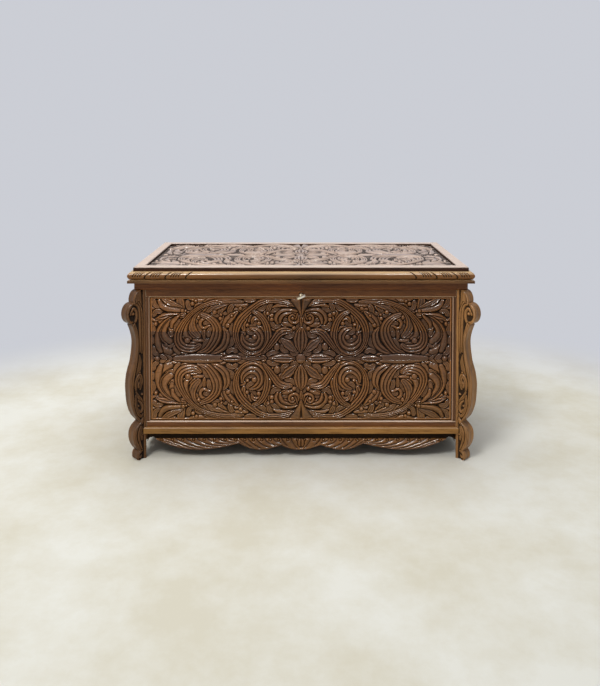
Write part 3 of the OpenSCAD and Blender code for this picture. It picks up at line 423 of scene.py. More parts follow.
INNER_BERRIES = [
    (-65, -30.5, 3.4, 1), (-75, -31, 2.2, 1), (-75.5, -48, 2.3, 1), (-59, -50, 2.6, 1),
    (-34, -16.5, 3.8, 1.35), (-41, -55.5, 2.7, 1), (-41, -61.5, 2.5, 1), (-46.5, -64, 2.4, 1),
    (-12, -57, 2.2, 1), (-10, -43, 2.6, 1), (-103, -47.5, 2.9, 1), (-85, -71.5, 2.6, 1),
    (-113, -57, 2.4, 1), (-121, -66, 2.8, 1), (-97, -61, 2.0, 1), (-112, -62.5, 1.8, 1),
]
print("inner scroll:", len(INNER), "strokes,", len(FILLERS), "fillers")

# %% [markdown]
# A rosette of eight petals marks the middle. Above and below it stands a small palmette, and a
# smooth band joins the scrolls along the middle line.

# %% Rosette, palmette and the middle band
ROSETTE = [
    ("smooth", 3.3, [4, 6.5, 7, 5.5], [(-176, 0), (-160, 0), (-140, 0), (-114, 0)]),
    ("slit", 3.6, [1, 4.6, 5.4, 4.6, 1], [(-112.5, 0), (-106, 0), (-97, 0), (-89, 0), (-82, 0)]),
    ("leaf", 3.2, [1.5, 3.6, 1.5], [(-82, 0), (-68, 0), (-52, 0)]),
    ("leaf", 3.8, [1.5, 5.6, 6.6, 3.2], [(-6, -9), (-13.5, -16.5), (-19.5, -21.5), (-26, -26.5)]),
    (3, 3.8, [1.5, 6.4, 7, 5.4, 0.8], [(-8, 0), (-17, 0), (-26, 0), (-35, 0), (-45, 0)]),
    (4, 4.1, [1.5, 8.4, 10.4, 8, 0.8], [(0, -8.5), (0, -18), (0, -27), (0, -36), (0, -46)]),
    (2, 3.6, [1.4, 2.6, 2], [(0, -47), (0, -54), (0, -60)]),
    ("slit", 4.0, [1.4, 4.5, 9.5, 15, 15], [(0, -60), (0, -68), (0, -75), (0, -82), (0, -90)]),
]
BUTTON = [(0, 0, 6.0, 1)]
print("rosette and bands:", len(ROSETTE), "strokes")

# %% [markdown]
# A carver leaves no field empty, so small leaves and berries fill the ground between the scrolls.
# They could be drawn one by one, but then each change of a scroll would mean drawing them again. A
# rule finds them instead. It needs two measures: how much room each bare place has, and which way a
# gap runs from there.

# %% Room in the gaps
def room_around(height, step, reach=9.0):
    """Distance from each bare point to the carving or to the edge of the panel. It spreads one cell
    at a time: a point is as far as its nearest neighbour plus the way to it."""
    room = np.where(height > 0.7, 0.0, reach)
    room[0, :] = room[:, 0] = 0
    for _ in range(int(reach / step)):
        wide = np.pad(room, 1, mode="edge")
        for i, j in ((0, 1), (1, 0), (1, 2), (2, 1), (0, 0), (0, 2), (2, 0), (2, 2)):
            way = step * math.hypot(i - 1, j - 1)
            room = np.minimum(room, wide[i:i + room.shape[0], j:j + room.shape[1]] + way)
    return room


def leaf_line(room, start, step, longest=17.0, stride=1.2):
    """Middle line of a leaf that fits a gap: from the roomiest point it walks both ways, each time
    a stride to the roomiest place ahead, until the gap closes. Then the line is smoothed."""
    turns = np.radians(np.arange(0, 360, 15))

    def walk(heading, spread):
        """Places one way from the start, and the last heading. The first step may turn by spread."""
        place, line = np.array(start, float), []
        while len(line) * stride < longest / 2:
            ways = turns[np.cos(turns - heading) > math.cos(spread)]
            ahead = place + stride / step * np.stack([np.cos(ways), np.sin(ways)], 1)
            cell = np.clip(np.round(ahead).astype(int), 0, np.array(room.shape) - 1)
            space = room[cell[:, 0], cell[:, 1]] + 0.5 * np.cos(ways - heading)
            best = space.argmax()
            if room[tuple(cell[best])] < 0.9:
                break
            place, heading, spread = ahead[best], ways[best], 0.7
            line.append(place)
        return line, heading

    first = walk(0.0, 4.0)[0]
    if not first:
        return [np.array(start, float)]
    away = math.atan2(*(np.array(start) - first[0])[::-1])
    line = np.array(walk(away, 0.8)[0][::-1] + [np.array(start, float)] + first)
    for _ in range(3):
        line[1:-1] = (line[:-2] + 2 * line[1:-1] + line[2:]) / 4
    return line


print("room in the middle of a bare square of 5 mm:", room_around(np.zeros((11, 11)), 0.5)[5, 5])

# %% [markdown]
# The roomiest place takes a leaf or a berry that fits it, then the next roomiest, until only narrow
# gaps are left.

# %% Fill the gaps
NARROWEST = 1.9  # room in a gap that is still filled
SMALL_TOP, LEAF_TOP = 2.9, 2.3  # heights of the berries and the leaves in the gaps


def fill_gaps(height, u, v, step, most=150, gap=0.45):
    """Fills the bare ground as a carver does: the roomiest place takes a leaf or a berry that fits
    it, and so on until only narrow gaps are left."""
    room = room_around(height, step)
    count = 0
    while count < most and room.max() > NARROWEST:
        start = np.unravel_index(room.argmax(), room.shape)
        line = np.array(leaf_line(room, start, step))
        cell = np.clip(np.round(line).astype(int), 0, np.array(room.shape) - 1)
        width = np.clip(room[cell[:, 0], cell[:, 1]] - gap, 0.7, 3.6)
        points = np.stack([u[0, 0] + step * line[:, 0], v[0, 0] + step * line[:, 1]], 1)
        if len(line) < 5:
            radius = float(min(width.max(), 2.7))
            centre = points[len(line) // 2]
            dot(height, u, v, SMALL_TOP, centre, radius)
            far = np.hypot(u - centre[0], v - centre[1]) - radius
        else:
            width[0], width[-1] = 0.6, 0.8
            width[1:-1] = (width[:-2] + 2 * width[1:-1] + width[2:]) / 4
            keep = np.unique(np.linspace(0, len(points) - 1, max(len(points) // 2, 3)).astype(int))
            points, width = points[keep], width[keep]
            kind = "leaf" if width.max() > 2.4 else 1
            lay(height, u, v, kind, LEAF_TOP, list(width), points, moat=0.3)
            dense, share = smooth_line(points)
            wide = np.interp(share, np.linspace(0, 1, len(width)), width)
            far = np.full(u.shape, 99.0)
            for (pu, pv), w in zip(dense, wide):
                far = np.minimum(far, np.hypot(u - pu, v - pv) - w)
        room = np.minimum(room, np.maximum(far, 0))
        count += 1
    return count


print("gaps are filled from the roomiest down to", NARROWEST, "mm")

# %% [markdown]
# Now the quarter is put together: strokes in the order in which they were drawn, berries, and the
# leaves in the gaps. The front and the lid use the full pattern. The ends are shorter, so they take
# its middle, with the inner scroll and the rosette.

# %% Carve the quarter
STROKE_SWELL = 1.06  # strokes are laid a little wider than drawn
BERRY_SWELL = 1.12
BERRY_TOP = 4.1
BUTTON_MOAT = 2.2  # the button in the middle has a wider ring round it than a berry
DRAWN_U, DRAWN_V = 212.0, 87.5  # half length and half height of the drawn panel


def carve(strokes, berries, half_u=DRAWN_U, half_v=DRAWN_V, step=0.4):
    """The height map of one quarter: zero ground, then strokes in order, berries, and the leaves
    that fill what is still bare."""
    u, v = np.meshgrid(np.arange(-half_u, step, step), np.arange(-half_v, step, step), indexing="ij")
    height = np.zeros(u.shape)
    for kind, top, widths, points in strokes:
        lay(height, u, v, kind, top, [w * STROKE_SWELL for w in widths], points)
    for cu, cv, radius, stretch in berries:
        moat = 1.1 if radius < 5 else BUTTON_MOAT
        dot(height, u, v, BERRY_TOP, (cu, cv), BERRY_SWELL * radius, stretch, moat)
    print(fill_gaps(height, u, v, step), "leaves and berries in the gaps")
    return height, (-half_u, -half_v, step)


FULL = carve(FILLERS + OUTER + INNER + ROSETTE, OUTER_BERRIES + INNER_BERRIES + BUTTON)
CENTRE = carve(INNER + ROSETTE[3:], INNER_BERRIES[:10] + BUTTON, half_u=100)
print("quarter map", FULL[0].shape, "highest", round(FULL[0].max(), 2))

# %% [markdown]
# ## Laying the map on a board
#
# A board reads the quarter map at its own points, mirrored about both middle lines. A displacement
# modifier with a picture could raise the relief too, but its texture would have to be a file, and
# the height would blur between pixels. The reading point wanders by a fraction of a millimetre,
# because a hand never cuts the same leaf twice.

# %% Reading the map
def waver(a, b, size, seed):
    """Slow drift in two directions: a sum of four sine waves with seeded directions and phases."""
    rng = np.random.default_rng(seed)
    drift = 0
    for _ in range(4):
        ka, kb, phase = rng.uniform(-0.09, 0.09), rng.uniform(-0.09, 0.09), rng.uniform(0, 6.28)
        drift = drift + np.sin(ka * a + kb * b + phase)
    return size * drift / 2


def sample(drawn, u, v):
    """Height at (u, v) on a map: the four nearest values, weighted by closeness."""
    height, (u0, v0, step) = drawn
    fu = np.clip((u - u0) / step, 0, height.shape[0] - 1.001)
    fv = np.clip((v - v0) / step, 0, height.shape[1] - 1.001)
    i, j = fu.astype(int), fv.astype(int)
    s, t = fu - i, fv - j
    return ((height[i, j] * (1 - t) + height[i, j + 1] * t) * (1 - s)
            + (height[i + 1, j] * (1 - t) + height[i + 1, j + 1] * t) * s)


def read(quarter, u, v):
    """Height at (u, v) on a quarter map that is mirrored about both middle lines."""
    return sample(quarter, -np.abs(u), -np.abs(v))


print("height of the button:", round(float(read(FULL, np.array(0.0), np.array(0.0))), 2))

# %% [markdown]
# On old carving the stain lies in the hollows and the ridges are rubbed bright. Here the colour of
# the hollows is stain together with painted shade, and that of the ridges wear together with a
# painted highlight. A shader can find hollows by tracing rays, at a cost in every render, and that
# is lost when the model is exported.
# Comparing each height with the mean around it is quick, and the result can be stored on the points
# as two numbers: how deep a point sits among its neighbours, and how far it stands up.

# %% Hollows and crests
def blur(height, cells):
    """Mean over a square window, by running sums along both directions."""
    for axis in (0, 1):
        pad = [(0, 0), (0, 0)]
        pad[axis] = (cells + 1, cells)
        total = np.cumsum(np.pad(height, pad, mode="edge"), axis=axis)
        size = 2 * cells + 1
        high = np.take(total, range(size, total.shape[axis]), axis=axis)
        low = np.take(total, range(0, total.shape[axis] - size), axis=axis)
        height = (high - low) / size
    return height


def shade_of(height, spacing):
    """Hollow and crest numbers from 0 to 1. Hollow grows as a point sinks below the mean of its wide
    and of its near surroundings, and crest as it stands above them. Bare ground is all hollow."""
    wide = blur(blur(height, max(int(3.0 / spacing), 1)), max(int(2.0 / spacing), 1))
    tight = blur(height, max(int(0.9 / spacing), 1))
    # hollow gives the dark tone, stain together with painted shade, and bare ground takes it fully. crest
    # gives the light tone, wear together with a painted highlight.
    hollow = np.clip((wide - height) / 1.8, 0, 1) * 0.85 + np.clip((tight - height) / 0.45, 0, 1) * 0.7
    ground = ease(1.4 - height) * 0.96
    crest = np.clip((height - wide) / 1.4, 0, 1) * 0.5 + np.clip((height - tight) / 0.3, 0, 1) * 0.6
    return np.clip(np.maximum(hollow, ground), 0, 1), np.clip(crest, 0, 1)


lone = shade_of(np.pad([[3.0]], 6), 0.5)
print("a lone bump of 3 mm: crest", lone[1].max(), "hollow beside it", round(lone[0][0, 0], 2))

# %% [markdown]
# A panel is glued up from boards of differing tone, and the frame laps over its edges. A rounded
# fillet runs round the opening, and the carving starts inside it. One board could be cut into four
# by its colour alone, but then the fine open seams between the boards would be missing.

# %% A carved board
SEAM = 0.1  # open seam between two boards, and how far a stick stays short of its mitre
WANDER = 0.35  # how far the reading point wanders
FILLET_FROM, FILLET_TO, FILLET_SIDE = 0.4, 3.0, 0.7  # distances from the opening, width of a flank
FILLET_TOP = 1.9


def carved_board(name, quarter, n, a0, a1, z0, z1, back, seed, spacing, squeeze=1.0):
    """A carved board of wall n: a grid over its width and height, pushed out of the ground by
    the map. squeeze shrinks the pattern across the wall. The rim of the board stays plain."""
    a = np.linspace(a0, a1, int((a1 - a0) / spacing) + 1)[:, None]
    z = np.linspace(z0, z1, int((z1 - z0) / spacing) + 1)[None, :]
    u = a / squeeze + waver(a, z, WANDER, seed)
    v = z - MID_Z + waver(a, z, WANDER, seed + 1)
    half_a = (HALF_W if n % 2 == 0 else HALF_D) - STILE
    margin = np.minimum(half_a - np.abs(a), HALF_OPEN_H - np.abs(z - MID_Z))
    fillet = ease((margin - FILLET_FROM) / FILLET_SIDE) * ease((FILLET_TO - margin) / FILLET_SIDE)
    height = np.maximum(read(quarter, u, v) * ease((margin - 2.6) / 0.9), FILLET_TOP * fillet)
    face = on_side(n, a, GROUND - height, z)
    low = on_side(n, a[:, 0], back, z0)
    high = on_side(n, a[:, 0], back, z1)
    piece = board(name, face, low, high)
    hollow, crest = shade_of(height, spacing)
    # The fillet takes the light tone and little of the dark: wear together with a painted highlight.
    paint(piece, hollow=hollow * (1 - 0.9 * fillet), crest=np.maximum(crest, 1.6 * fillet))
    return piece


def replace(piece, body, slot, *names):
    """Makes a piece ride on a body and stand for solids, which it hides. slot is not used."""
    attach(piece, body)
    if names:
        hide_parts(*names)
    return piece


carved = {}
print("pattern and ground ready, ground", GROUND, "mm deep")

# %% [markdown]
# The front panel has four boards. Of all the panels it has the finest grid, a little over half a
# millimetre, because this is the face that people see.

# %% Front boards
FRONT_SPACING = 0.55
for k in range(1, 5):
    low, high = span(f"front_board_{k}")
    piece = carved_board(f"front_board_{k}_carved", FULL, 0, low[0], high[0], low[2], high[2],
                         high[1] + HALF_D, 10 + k, FRONT_SPACING)
    carved[f"front_{k}"] = replace(piece, "case", "walnut", f"front_board_{k}")
    print(piece.name, len(piece.data.polygons), "faces")

# %% [markdown]
# ## Ends and lid
#
# Each end of the box is a shorter panel between its own stiles. It repeats the middle of the pattern,
# squeezed a little to fit. A pattern of its own would be truer to hand work, but the two would
# hardly ever be seen together.

# %% Boards of the ends
END_SQUEEZE = 0.93
END_SPACING = 0.7
END_SPLITS = (0.72, 0.49, 0.14)  # seams between the boards, as shares of the opening's height
for n, side in ((1, "right"), (3, "left")):
    low, high = span(f"{side}_side_boards")
    half = high[1]
    back = HALF_W - abs(low[0] if n == 1 else high[0])
    levels = [high[2], *[OPEN_LOW + s * (OPEN_HIGH - OPEN_LOW) for s in END_SPLITS], low[2]]
    for k in range(4):
        top = levels[k] - (SEAM if k else 0)
        piece = carved_board(f"{side}_side_board_{k + 1}_carved", CENTRE, n, -half, half,
                             levels[k + 1], top, back, 30 + 10 * n + k, END_SPACING, END_SQUEEZE)
        carved[f"{side}_{k + 1}"] = replace(piece, "case", "walnut", f"{side}_side_boards")
print("end boards carved")

# %% [markdown]
# The lid is four boards in a mitred border, and the whole pattern is stretched over it. Light falls
# along the lid and not against it, so a carver keeps its relief lower, and so does this map. What
# is low is pressed lower still, which leaves the ground flat under crisp leaves.

# %% Boards of the lid
field_low, field_high = span("lid_boards")
LID_SPACING = 0.65
LID_BOARD_T = 6.0
LID_RISE = 0.82
OPEN_HALF_X, OPEN_HALF_Y = field_high[0], field_high[1]


def lid_board(k, count):
    """A carved board of the lid: the quarter map stretched to the field, pushed up from the board.
    Low relief is pressed lower still, by a factor that grows with the height up to 3.3 mm."""
    length = field_high[0] - field_low[0]
    x = np.linspace(field_low[0], field_high[0], int(length / LID_SPACING) + 1)[:, None]
    deep = (field_high[1] - field_low[1] + SEAM) / count
    y0 = field_low[1] + k * deep
    y1 = y0 + deep - SEAM
    y = np.linspace(y0, y1, int(deep / LID_SPACING) + 1)[None, :]
    u = x * (DRAWN_U - 1) / OPEN_HALF_X + waver(x, y, WANDER, 50 + k)
    v = y * DRAWN_V / OPEN_HALF_Y + waver(x, y, WANDER, 60 + k)
    inside = ease((OPEN_HALF_X - np.abs(x)) / 1.5) * ease((OPEN_HALF_Y - np.abs(y)) / 1.5)
    height = read(FULL, u, v)
    height = LID_RISE * height * np.clip(height / 3.3, 0, 1) * inside
    x, y = np.broadcast_arrays(x, y)
    face = np.stack([x, y, field_low[2] + LID_BOARD_T + height], -1) * MM
    rows = [np.stack(np.broadcast_arrays(x[:, 0], edge, field_low[2]), -1) * MM for edge in (y0, y1)]
    piece = board(f"lid_board_{k + 1}_carved", face, *rows)
    hollow, crest = shade_of(height, LID_SPACING)
    # The lid's hollows are painted darker still: stain together with painted shade.
    paint(piece, hollow=np.clip(1.7 * hollow - 0.15, 0, 1), crest=crest)
    return replace(piece, "lid", "walnut", "lid_boards")


for k in range(4):
    carved[f"lid_{k + 1}"] = lid_board(k, 4)
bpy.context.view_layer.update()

# %% [markdown]
# ## Scalloped aprons
#
# Under each wall hangs a thin apron, fretted out with a saw so that its lower edge swings in lobes.
# Its leaves are flutes that sweep down to that edge, with berries along the top. It could be drawn
# with strokes like the panels. Here a formula is simpler, as the flutes repeat, and a grid that runs
# from the case down to the edge lets every flute end on the scallop.

# %% Outline of the apron
APRON_DROP = 24.8
CORNER_CUT = LEG_T / math.sqrt(2)
BRACKET = 2.5  # width of the small step between the outer lobe and the quarter round


def lobe_spans(half):
    """Where the lobes end, as distances from the middle: outer tip, outer lobe, middle lobe."""
    return half - 22, half * 0.38, half * 0.12


def lobe_edge(t, z0, z1):
    """Lower edge of a lobe for t from 0 to 1: a straight line from z0 to z1 less a skewed sine arch."""
    return z0 + (z1 - z0) * t - (APRON_DROP - abs(z0 + z1) / 2) * np.sin(math.pi * t**0.88)


def apron_edge(a, half):
    """Height of the lower edge below the case: a quarter round at the leg, two lobes, a middle lobe."""
    r = np.abs(a)
    tip, far, near = lobe_spans(half)
    end = half - CORNER_CUT - tip - BRACKET
    outer = lobe_edge(np.clip((tip - r) / (tip - far), 0, 1), -8.5, -15.5)
    inner = lobe_edge(np.clip((far - r) / (far - near), 0, 1), -15.5, -18)
    middle = lobe_edge(np.clip((a + near) / (2 * near), 0, 1), -18, -18)
    bracket = -14.5 + 7.5 * np.sqrt(np.clip(1 - ((r - tip - BRACKET) / end) ** 2, 0, 1))
    bracket = np.where(r < tip + BRACKET, -7 - 1.5 * (tip + BRACKET - r) / BRACKET, bracket)
    return np.where(r > tip, bracket, np.where(r > far, outer, np.where(r > near, inner, middle)))


print("apron hangs down", round(-float(apron_edge(np.linspace(-200, 200, 999), HALF_W).min()), 1), "mm")

# %% [markdown]
# The relief of the apron is worked out from two numbers: how far along its lobe a place lies, and
# how far down. Grooves, berries and the bud in the middle are laid over one another.

# %% Relief of the apron
FLUTE_TOP = 9.0  # distance below the case at which the flutes start
RELIEF_TOP = 2.9  # highest relief, which is the face of the solid
BERRY_DROP, BERRY_R = 10.9, 1.5  # distance of the row of berries below the case, and their radius
BUD_DROP, BUD_WIDE, BUD_HIGH = 15.5, 5.2, 6.4  # middle and radii of the bud


def apron_height(a, drop, half):
    """Relief of the apron over its own plane. In each lobe the grooves start upright at the top and
    bend towards the middle as they come down, so they run out along the lip. A berry sits between
    two grooves, and an oval bud with a slit marks the middle. drop is the distance below the case."""
    r = np.abs(a)
    tip, far, near = lobe_spans(half)
    edge = -apron_edge(a, half)
    share = np.clip((drop - FLUTE_TOP) / np.maximum(edge - FLUTE_TOP, 1), 0, 1)
    start = np.where(r > far, far, np.where(r > near, near, 0))
    size = np.where(r > far, tip - far, np.where(r > near, far - near, near))
    count = np.where(r > far, 8.0, np.where(r > near, 5.0, 2.0)) * (0.7 + 0.3 * half / 228)
    t = np.clip((r - start) / size, 0, 1)
    phase = np.mod((t + 0.36 * share**1.7) * count, 1.0)
    ridge = np.sin(math.pi * phase) ** 0.55
    top_rail = ease((drop - 8.6) / 0.9)
    lip = ease((edge - drop - 0.9) / 1.4)
    ends = ease((half - 19 - r) / 6)
    flutes = (0.1 + 2.7 * ridge) * top_rail * ends * (0.25 + 0.75 * lip)
    height = flutes + 2.0 * (1 - lip) * top_rail * ends
    berry_r = start + (np.floor(t * count) + 0.35) / count * size
    berry_far = np.hypot(r - berry_r, drop - BERRY_DROP) / BERRY_R
    dome = RELIEF_TOP * np.sqrt(np.clip(1 - berry_far**2, 0, 1))
    around = height * (0.05 + 0.95 * ease(berry_far - 1))
    height = np.where(berry_far < 1, np.maximum(dome, height * 0.2), around)
    middle = np.hypot(r / BUD_WIDE, (drop - BUD_DROP) / BUD_HIGH)
    slit = 1 - 0.9 * np.exp(-((r / 0.9) ** 2))
    bud = RELIEF_TOP * np.sqrt(np.clip(1 - middle**2, 0, 1)) * slit
    height = np.where(middle < 1, bud, height * ease((middle - 1) * 5))
    return np.clip(height, 0, RELIEF_TOP) * (r < tip + 1)


bud = apron_height(np.array([BUD_WIDE / 2]), np.array([BUD_DROP]), HALF_W)[0]
print("the bud stands up", round(float(bud), 1), "mm beside its slit")

# %% [markdown]
# The apron itself is a board like the others, with a grid that follows the scallops. A flat board
# could be cut out with a boolean instead, but that leaves ragged faces along the fretted edge.

# %% Apron boards
APRON_SPACING = 0.6
APRON_BACK = 10.0


def apron(n, name):
    """A carved apron: a grid over its length and its drop, with the relief cut into its face."""
    half = HALF_W if n % 2 == 0 else HALF_D
    end = half - CORNER_CUT
    a = np.linspace(-end, end, int(2 * end / APRON_SPACING) + 1)[:, None]
    edge = -apron_edge(a, half)
    drop = np.linspace(0, 1, 42)[None, :] * edge
    height = apron_height(a, drop, half)
    face = on_side(n, a, RELIEF_TOP - height, BASE_Z - drop)
    back_high = on_side(n, a[:, 0], APRON_BACK, BASE_Z)
    back_low = on_side(n, a[:, 0], APRON_BACK, BASE_Z - edge[:, 0])
    piece = board(f"{name}_carved", face, back_high, back_low)
    hollow, crest = shade_of(height, APRON_SPACING)
    paint(piece, hollow=hollow, crest=crest)
    return replace(piece, "case", "walnut", name)


for n, side in enumerate(("front", "right", "back", "left")):
    carved[f"{side}_apron"] = apron(n, f"{side}_apron")
print("aprons carved")

# %% [markdown]
# ## Scroll legs
#
# Each leg is sawn from a thick board, stood diagonally on a cut corner, and carved on both broad
# faces. Seen from the side its edge swings out in a volute, a belly, a knee and a foot. A curve
# with a solidify modifier would give the sawn shape. A loft of level rings gives it too, and has
# points on both broad faces for the carving to push in.
#
# First comes the outline: points as shares of each bulge and of the height, joined smoothly.

# %% Outline of a leg
FOOT_OUT, KNEE_OUT, BELLY_OUT, VOLUTE_OUT = 7.4, 13.0, 17.6, 22.7
FOOT = [(0.55, 0), (0.92, 0.006), (1, 0.018), (0.95, 0.036), (0.75, 0.048), (0.45, 0.054)]
KNEE = [
    (0.28, 0.054), (0.56, 0.072), (0.82, 0.098), (0.97, 0.125), (1, 0.15), (0.93, 0.175),
    (0.74, 0.194), (0.43, 0.209), (0.1, 0.221),
]
BELLY = [
    (0.08, 0.223), (0.53, 0.265), (0.82, 0.318), (0.92, 0.355), (0.98, 0.4), (1, 0.45),
    (0.92, 0.503), (0.78, 0.541), (0.61, 0.577), (0.48, 0.625), (0.4, 0.675), (0.41, 0.715),
    (0.54, 0.757), (0.68, 0.785), (0.76, 0.8),
]
SHOULDER = [
    (0.47, 0.928), (0.485, 0.94), (0.47, 0.955), (0.4, 0.975), (0.28, 0.99), (0.13, 0.997),
    (0.04, 1),
]
VOLUTE = (VOLUTE_OUT * 0.5, 0.867, VOLUTE_OUT * 0.5, 0.0605)  # middle and radii of the ellipse


def leg_outline(spacing):
    """Distance out and height along the outer edge of a leg, evenly spaced: four smooth curves
    through scaled points, with the volute as an ellipse's arc between the belly and the shoulder."""
    scaled = [np.array(p) * (out, WALL_TOP) for p, out in
              ((FOOT, FOOT_OUT), (KNEE, KNEE_OUT), (BELLY, BELLY_OUT), (SHOULDER, VOLUTE_OUT))]
    curves = [smooth_line(p, 0.5)[0] for p in scaled]
    turn = np.radians(np.linspace(-86, 92, 60))
    arc_out = VOLUTE[0] + VOLUTE[2] * np.cos(turn)
    arc_z = WALL_TOP * (VOLUTE[1] + VOLUTE[3] * np.sin(turn))
    line = np.vstack([*curves[:3], np.stack([arc_out, arc_z], 1), curves[3]])
    line[:, 1] = np.maximum.accumulate(np.clip(line[:, 1], 0, WALL_TOP))
    length = np.concatenate([[0], np.cumsum(np.hypot(*np.diff(line, axis=0).T))])
    even = np.linspace(0, length[-1], int(length[-1] / spacing) + 1)
    return np.interp(even, length, line[:, 0]), np.interp(even, length, line[:, 1])


print("the leg reaches out", round(float(leg_outline(0.85)[0].max()), 1), "mm")

# %% [markdown]
# The broad faces of the leg are drawn with the same strokes as the panels. In this drawing u is the
# distance out from the corner line and v is the height. The flutes come down from the volute beside
# the edge, a leaf and two curls fill the belly, and the knee has its own scroll.

# %% Drawing of a leg
LEG_STROKES = [
    ("smooth", 2.4, [2.2, 2.2, 2.2], [(-6, 0), (-6, 120), (-6, 239)]),
    ("smooth", 2.3, [5.2, 5.2, 4.4], [(3.5, 238), (3, 226), (1.5, 214)]),
    (1, 2.3, [1.6, 1.6, 1.4, 1], [(3.2, 222), (-1.4, 210), (-2.2, 190), (-1.8, 150)]),
    (1, 2.4, [1.8, 2, 1.8, 1.2], [(12, 222), (3.5, 216), (1.4, 200), (1.2, 180), (1.2, 152)]),
    (1, 2.5, [2.2, 2.4, 2.4, 2.2, 1.6],
     [(13, 220.5), (19, 214), (20.6, 205), (17, 197), (11, 195)]),
    (1, 2.3, [2, 2.2, 2], [(15.5, 207), (11.5, 214.5), (6.8, 210), (6.6, 200), (9, 194.5)]),
    (1, 2.5, [1.6, 1.9, 2.2, 2.2, 2.2, 2, 1.6],
     [(9.5, 193), (5.5, 178), (5, 162), (7, 142), (11, 124), (14, 107), (13, 88), (9, 68),
      (3, 56)]),
    ("leaf", 2.3, [0.8, 2.8, 3.4, 2], [(2, 148), (1.6, 138), (3.6, 128), (6.5, 118)]),
    (2, 2.4, [1.5, 2.6, 3, 2.6, 1.5],
     [(1, 100), (-0.8, 110), (1.5, 119), (6, 116), (8.6, 108), (7.6, 98)]),
    (1, 2.3, [1.6, 2, 1.6], [(3, 110), (4.6, 106), (3.4, 102.5)]),
    (2, 2.3, [1, 2.2, 2.6, 2.2], [(8, 98), (5, 91), (1, 85), (-2, 80)]),
    (2, 2.4, [1.5, 2.4, 2.6, 2.2, 1.2], [(8.5, 92), (8.5, 80), (5.6, 68), (0.5, 61), (-3, 64)]),
    (1, 2.4, [1.4, 2.2, 2, 1.4], [(4.2, 84), (0.4, 80), (-2, 73), (0.6, 67.5), (3.2, 71)]),
    ("smooth", 2.2, [1.4, 2.8, 2], [(-3, 58), (-1, 53), (1, 50)]),
    (1, 2.5, [1.6, 2.2, 2.4, 2, 1.4], [(2, 51), (7.4, 45), (9.8, 36), (8, 26), (3, 16), (1, 10)]),
    (1, 2.3, [1.2, 1.8, 2, 1.6, 1], [(1, 47), (4.4, 40), (4.6, 32), (2.4, 23), (-1, 13)]),
    ("leaf", 2.2, [1, 2.2, 1.6], [(-1, 46), (0.4, 38), (-0.6, 28)]),
    (1, 2.4, [1.4, 1.8, 1.6, 1], [(-1, 12), (2, 11.6), (5, 7.5), (2.6, 3.2), (0.4, 6)]),
]
LEG_DOTS = [
    (11.6, 207.5, 2.2, 1), (2.2, 123.5, 1.7, 1), (-1.4, 92, 1.6, 1), (4.6, 77, 1.6, 1),
    (-2, 35, 1.2, 1),
]
LEG_DEPTH = 2.5


def leg_map(step=0.35):
    """Height map of a leg's face over distance out and height, drawn like the panels."""
    u, v = np.meshgrid(np.arange(-8, 24, step), np.arange(0, WALL_TOP + step, step), indexing="ij")
    height = np.zeros(u.shape)
    for stroke in LEG_STROKES:
        lay(height, u, v, *stroke, moat=0.8)
    for cu, cv, radius, stretch in LEG_DOTS:
        dot(height, u, v, 2.4, (cu, cv), radius, stretch)
    return height, (-8.0, 0.0, step)


LEG_MAP = leg_map()
print("leg map", LEG_MAP[0].shape, "highest", round(LEG_MAP[0].max(), 2))

# %% [markdown]
# A ring of the loft is a level cut through the leg. It runs along one broad face, round the outer
# edge and back along the other face. Near the outer edge the relief rises to the full thickness,
# so the sawn edge stays whole, as a carver would leave it.

# %% Loft of a leg
def leg(name, sx, sy, spacing=0.85, columns=36):
    """A carved leg on the corner (sx, sy). Each ring has face A from the case outwards, a rounded
    outer edge and face B back again. Near the rim of a face the relief rises to full thickness."""
    out, z = leg_outline(spacing)
    inner = -LEG_T / 2
    bevel = 1.6
    t = np.linspace(0, 1, columns)[None, :]
    r = inner + t * (out[:, None] - bevel - inner)
    relief = sample(LEG_MAP, r, z[:, None] + 0 * r)
    rim = ease((out[:, None] - bevel - r) / 1.8)
    relief = relief * rim + (LEG_DEPTH - 0.3) * (1 - rim)
    half = LEG_T / 2 - LEG_DEPTH + relief
    turn = np.radians(np.linspace(90, 0, 5))[None, :-1]
    edge_half = half[:, -1:]
    round_r = out[:, None] - bevel + bevel * np.cos(turn)
    round_q = edge_half - bevel + bevel * np.sin(turn)
    across = np.linspace(1, -1, 15)[None, :]
    edge_q = (edge_half - bevel) * across
    edge_r = out[:, None] + 0.0 * across - 0.35 * np.sin(np.pi * (across + 1) / 2) ** 2
    ring_r = np.concatenate([r, round_r, edge_r, round_r[:, ::-1], r[:, ::-1]], 1)
    ring_q = np.concatenate([half, round_q, edge_q, -round_q[:, ::-1], -half[:, ::-1]], 1)
    diagonal = np.array([sx, sy]) / math.sqrt(2)
    sideways = np.array([-diagonal[1], diagonal[0]])
    corner = np.array([sx * HALF_W, sy * HALF_D])
    plan = corner + ring_r[..., None] * diagonal + ring_q[..., None] * sideways
    rings = np.concatenate([plan, np.broadcast_to(z[:, None, None], (*ring_r.shape, 1))], -1) * MM
    piece = loft(f"{name}_carved", rings)
    hollow, crest = shade_of(relief, spacing)
    wide = ring_r.shape[1] - 2 * columns
    plain = np.zeros((len(z), wide))
    paint(piece, hollow=np.concatenate([hollow, plain, hollow[:, ::-1]], 1),
          crest=np.concatenate([0.7 * crest, plain, 0.7 * crest[:, ::-1]], 1))
    return replace(piece, "case", "walnut", name)


for sx, end in ((-1, "left"), (1, "right")):
    for sy, face in ((-1, "front"), (1, "back")):
        carved[f"leg_{face}_{end}"] = leg(f"leg_{face}_{end}", sx, sy)
print("legs carved:", len(carved["leg_front_left"].data.polygons), "faces each")

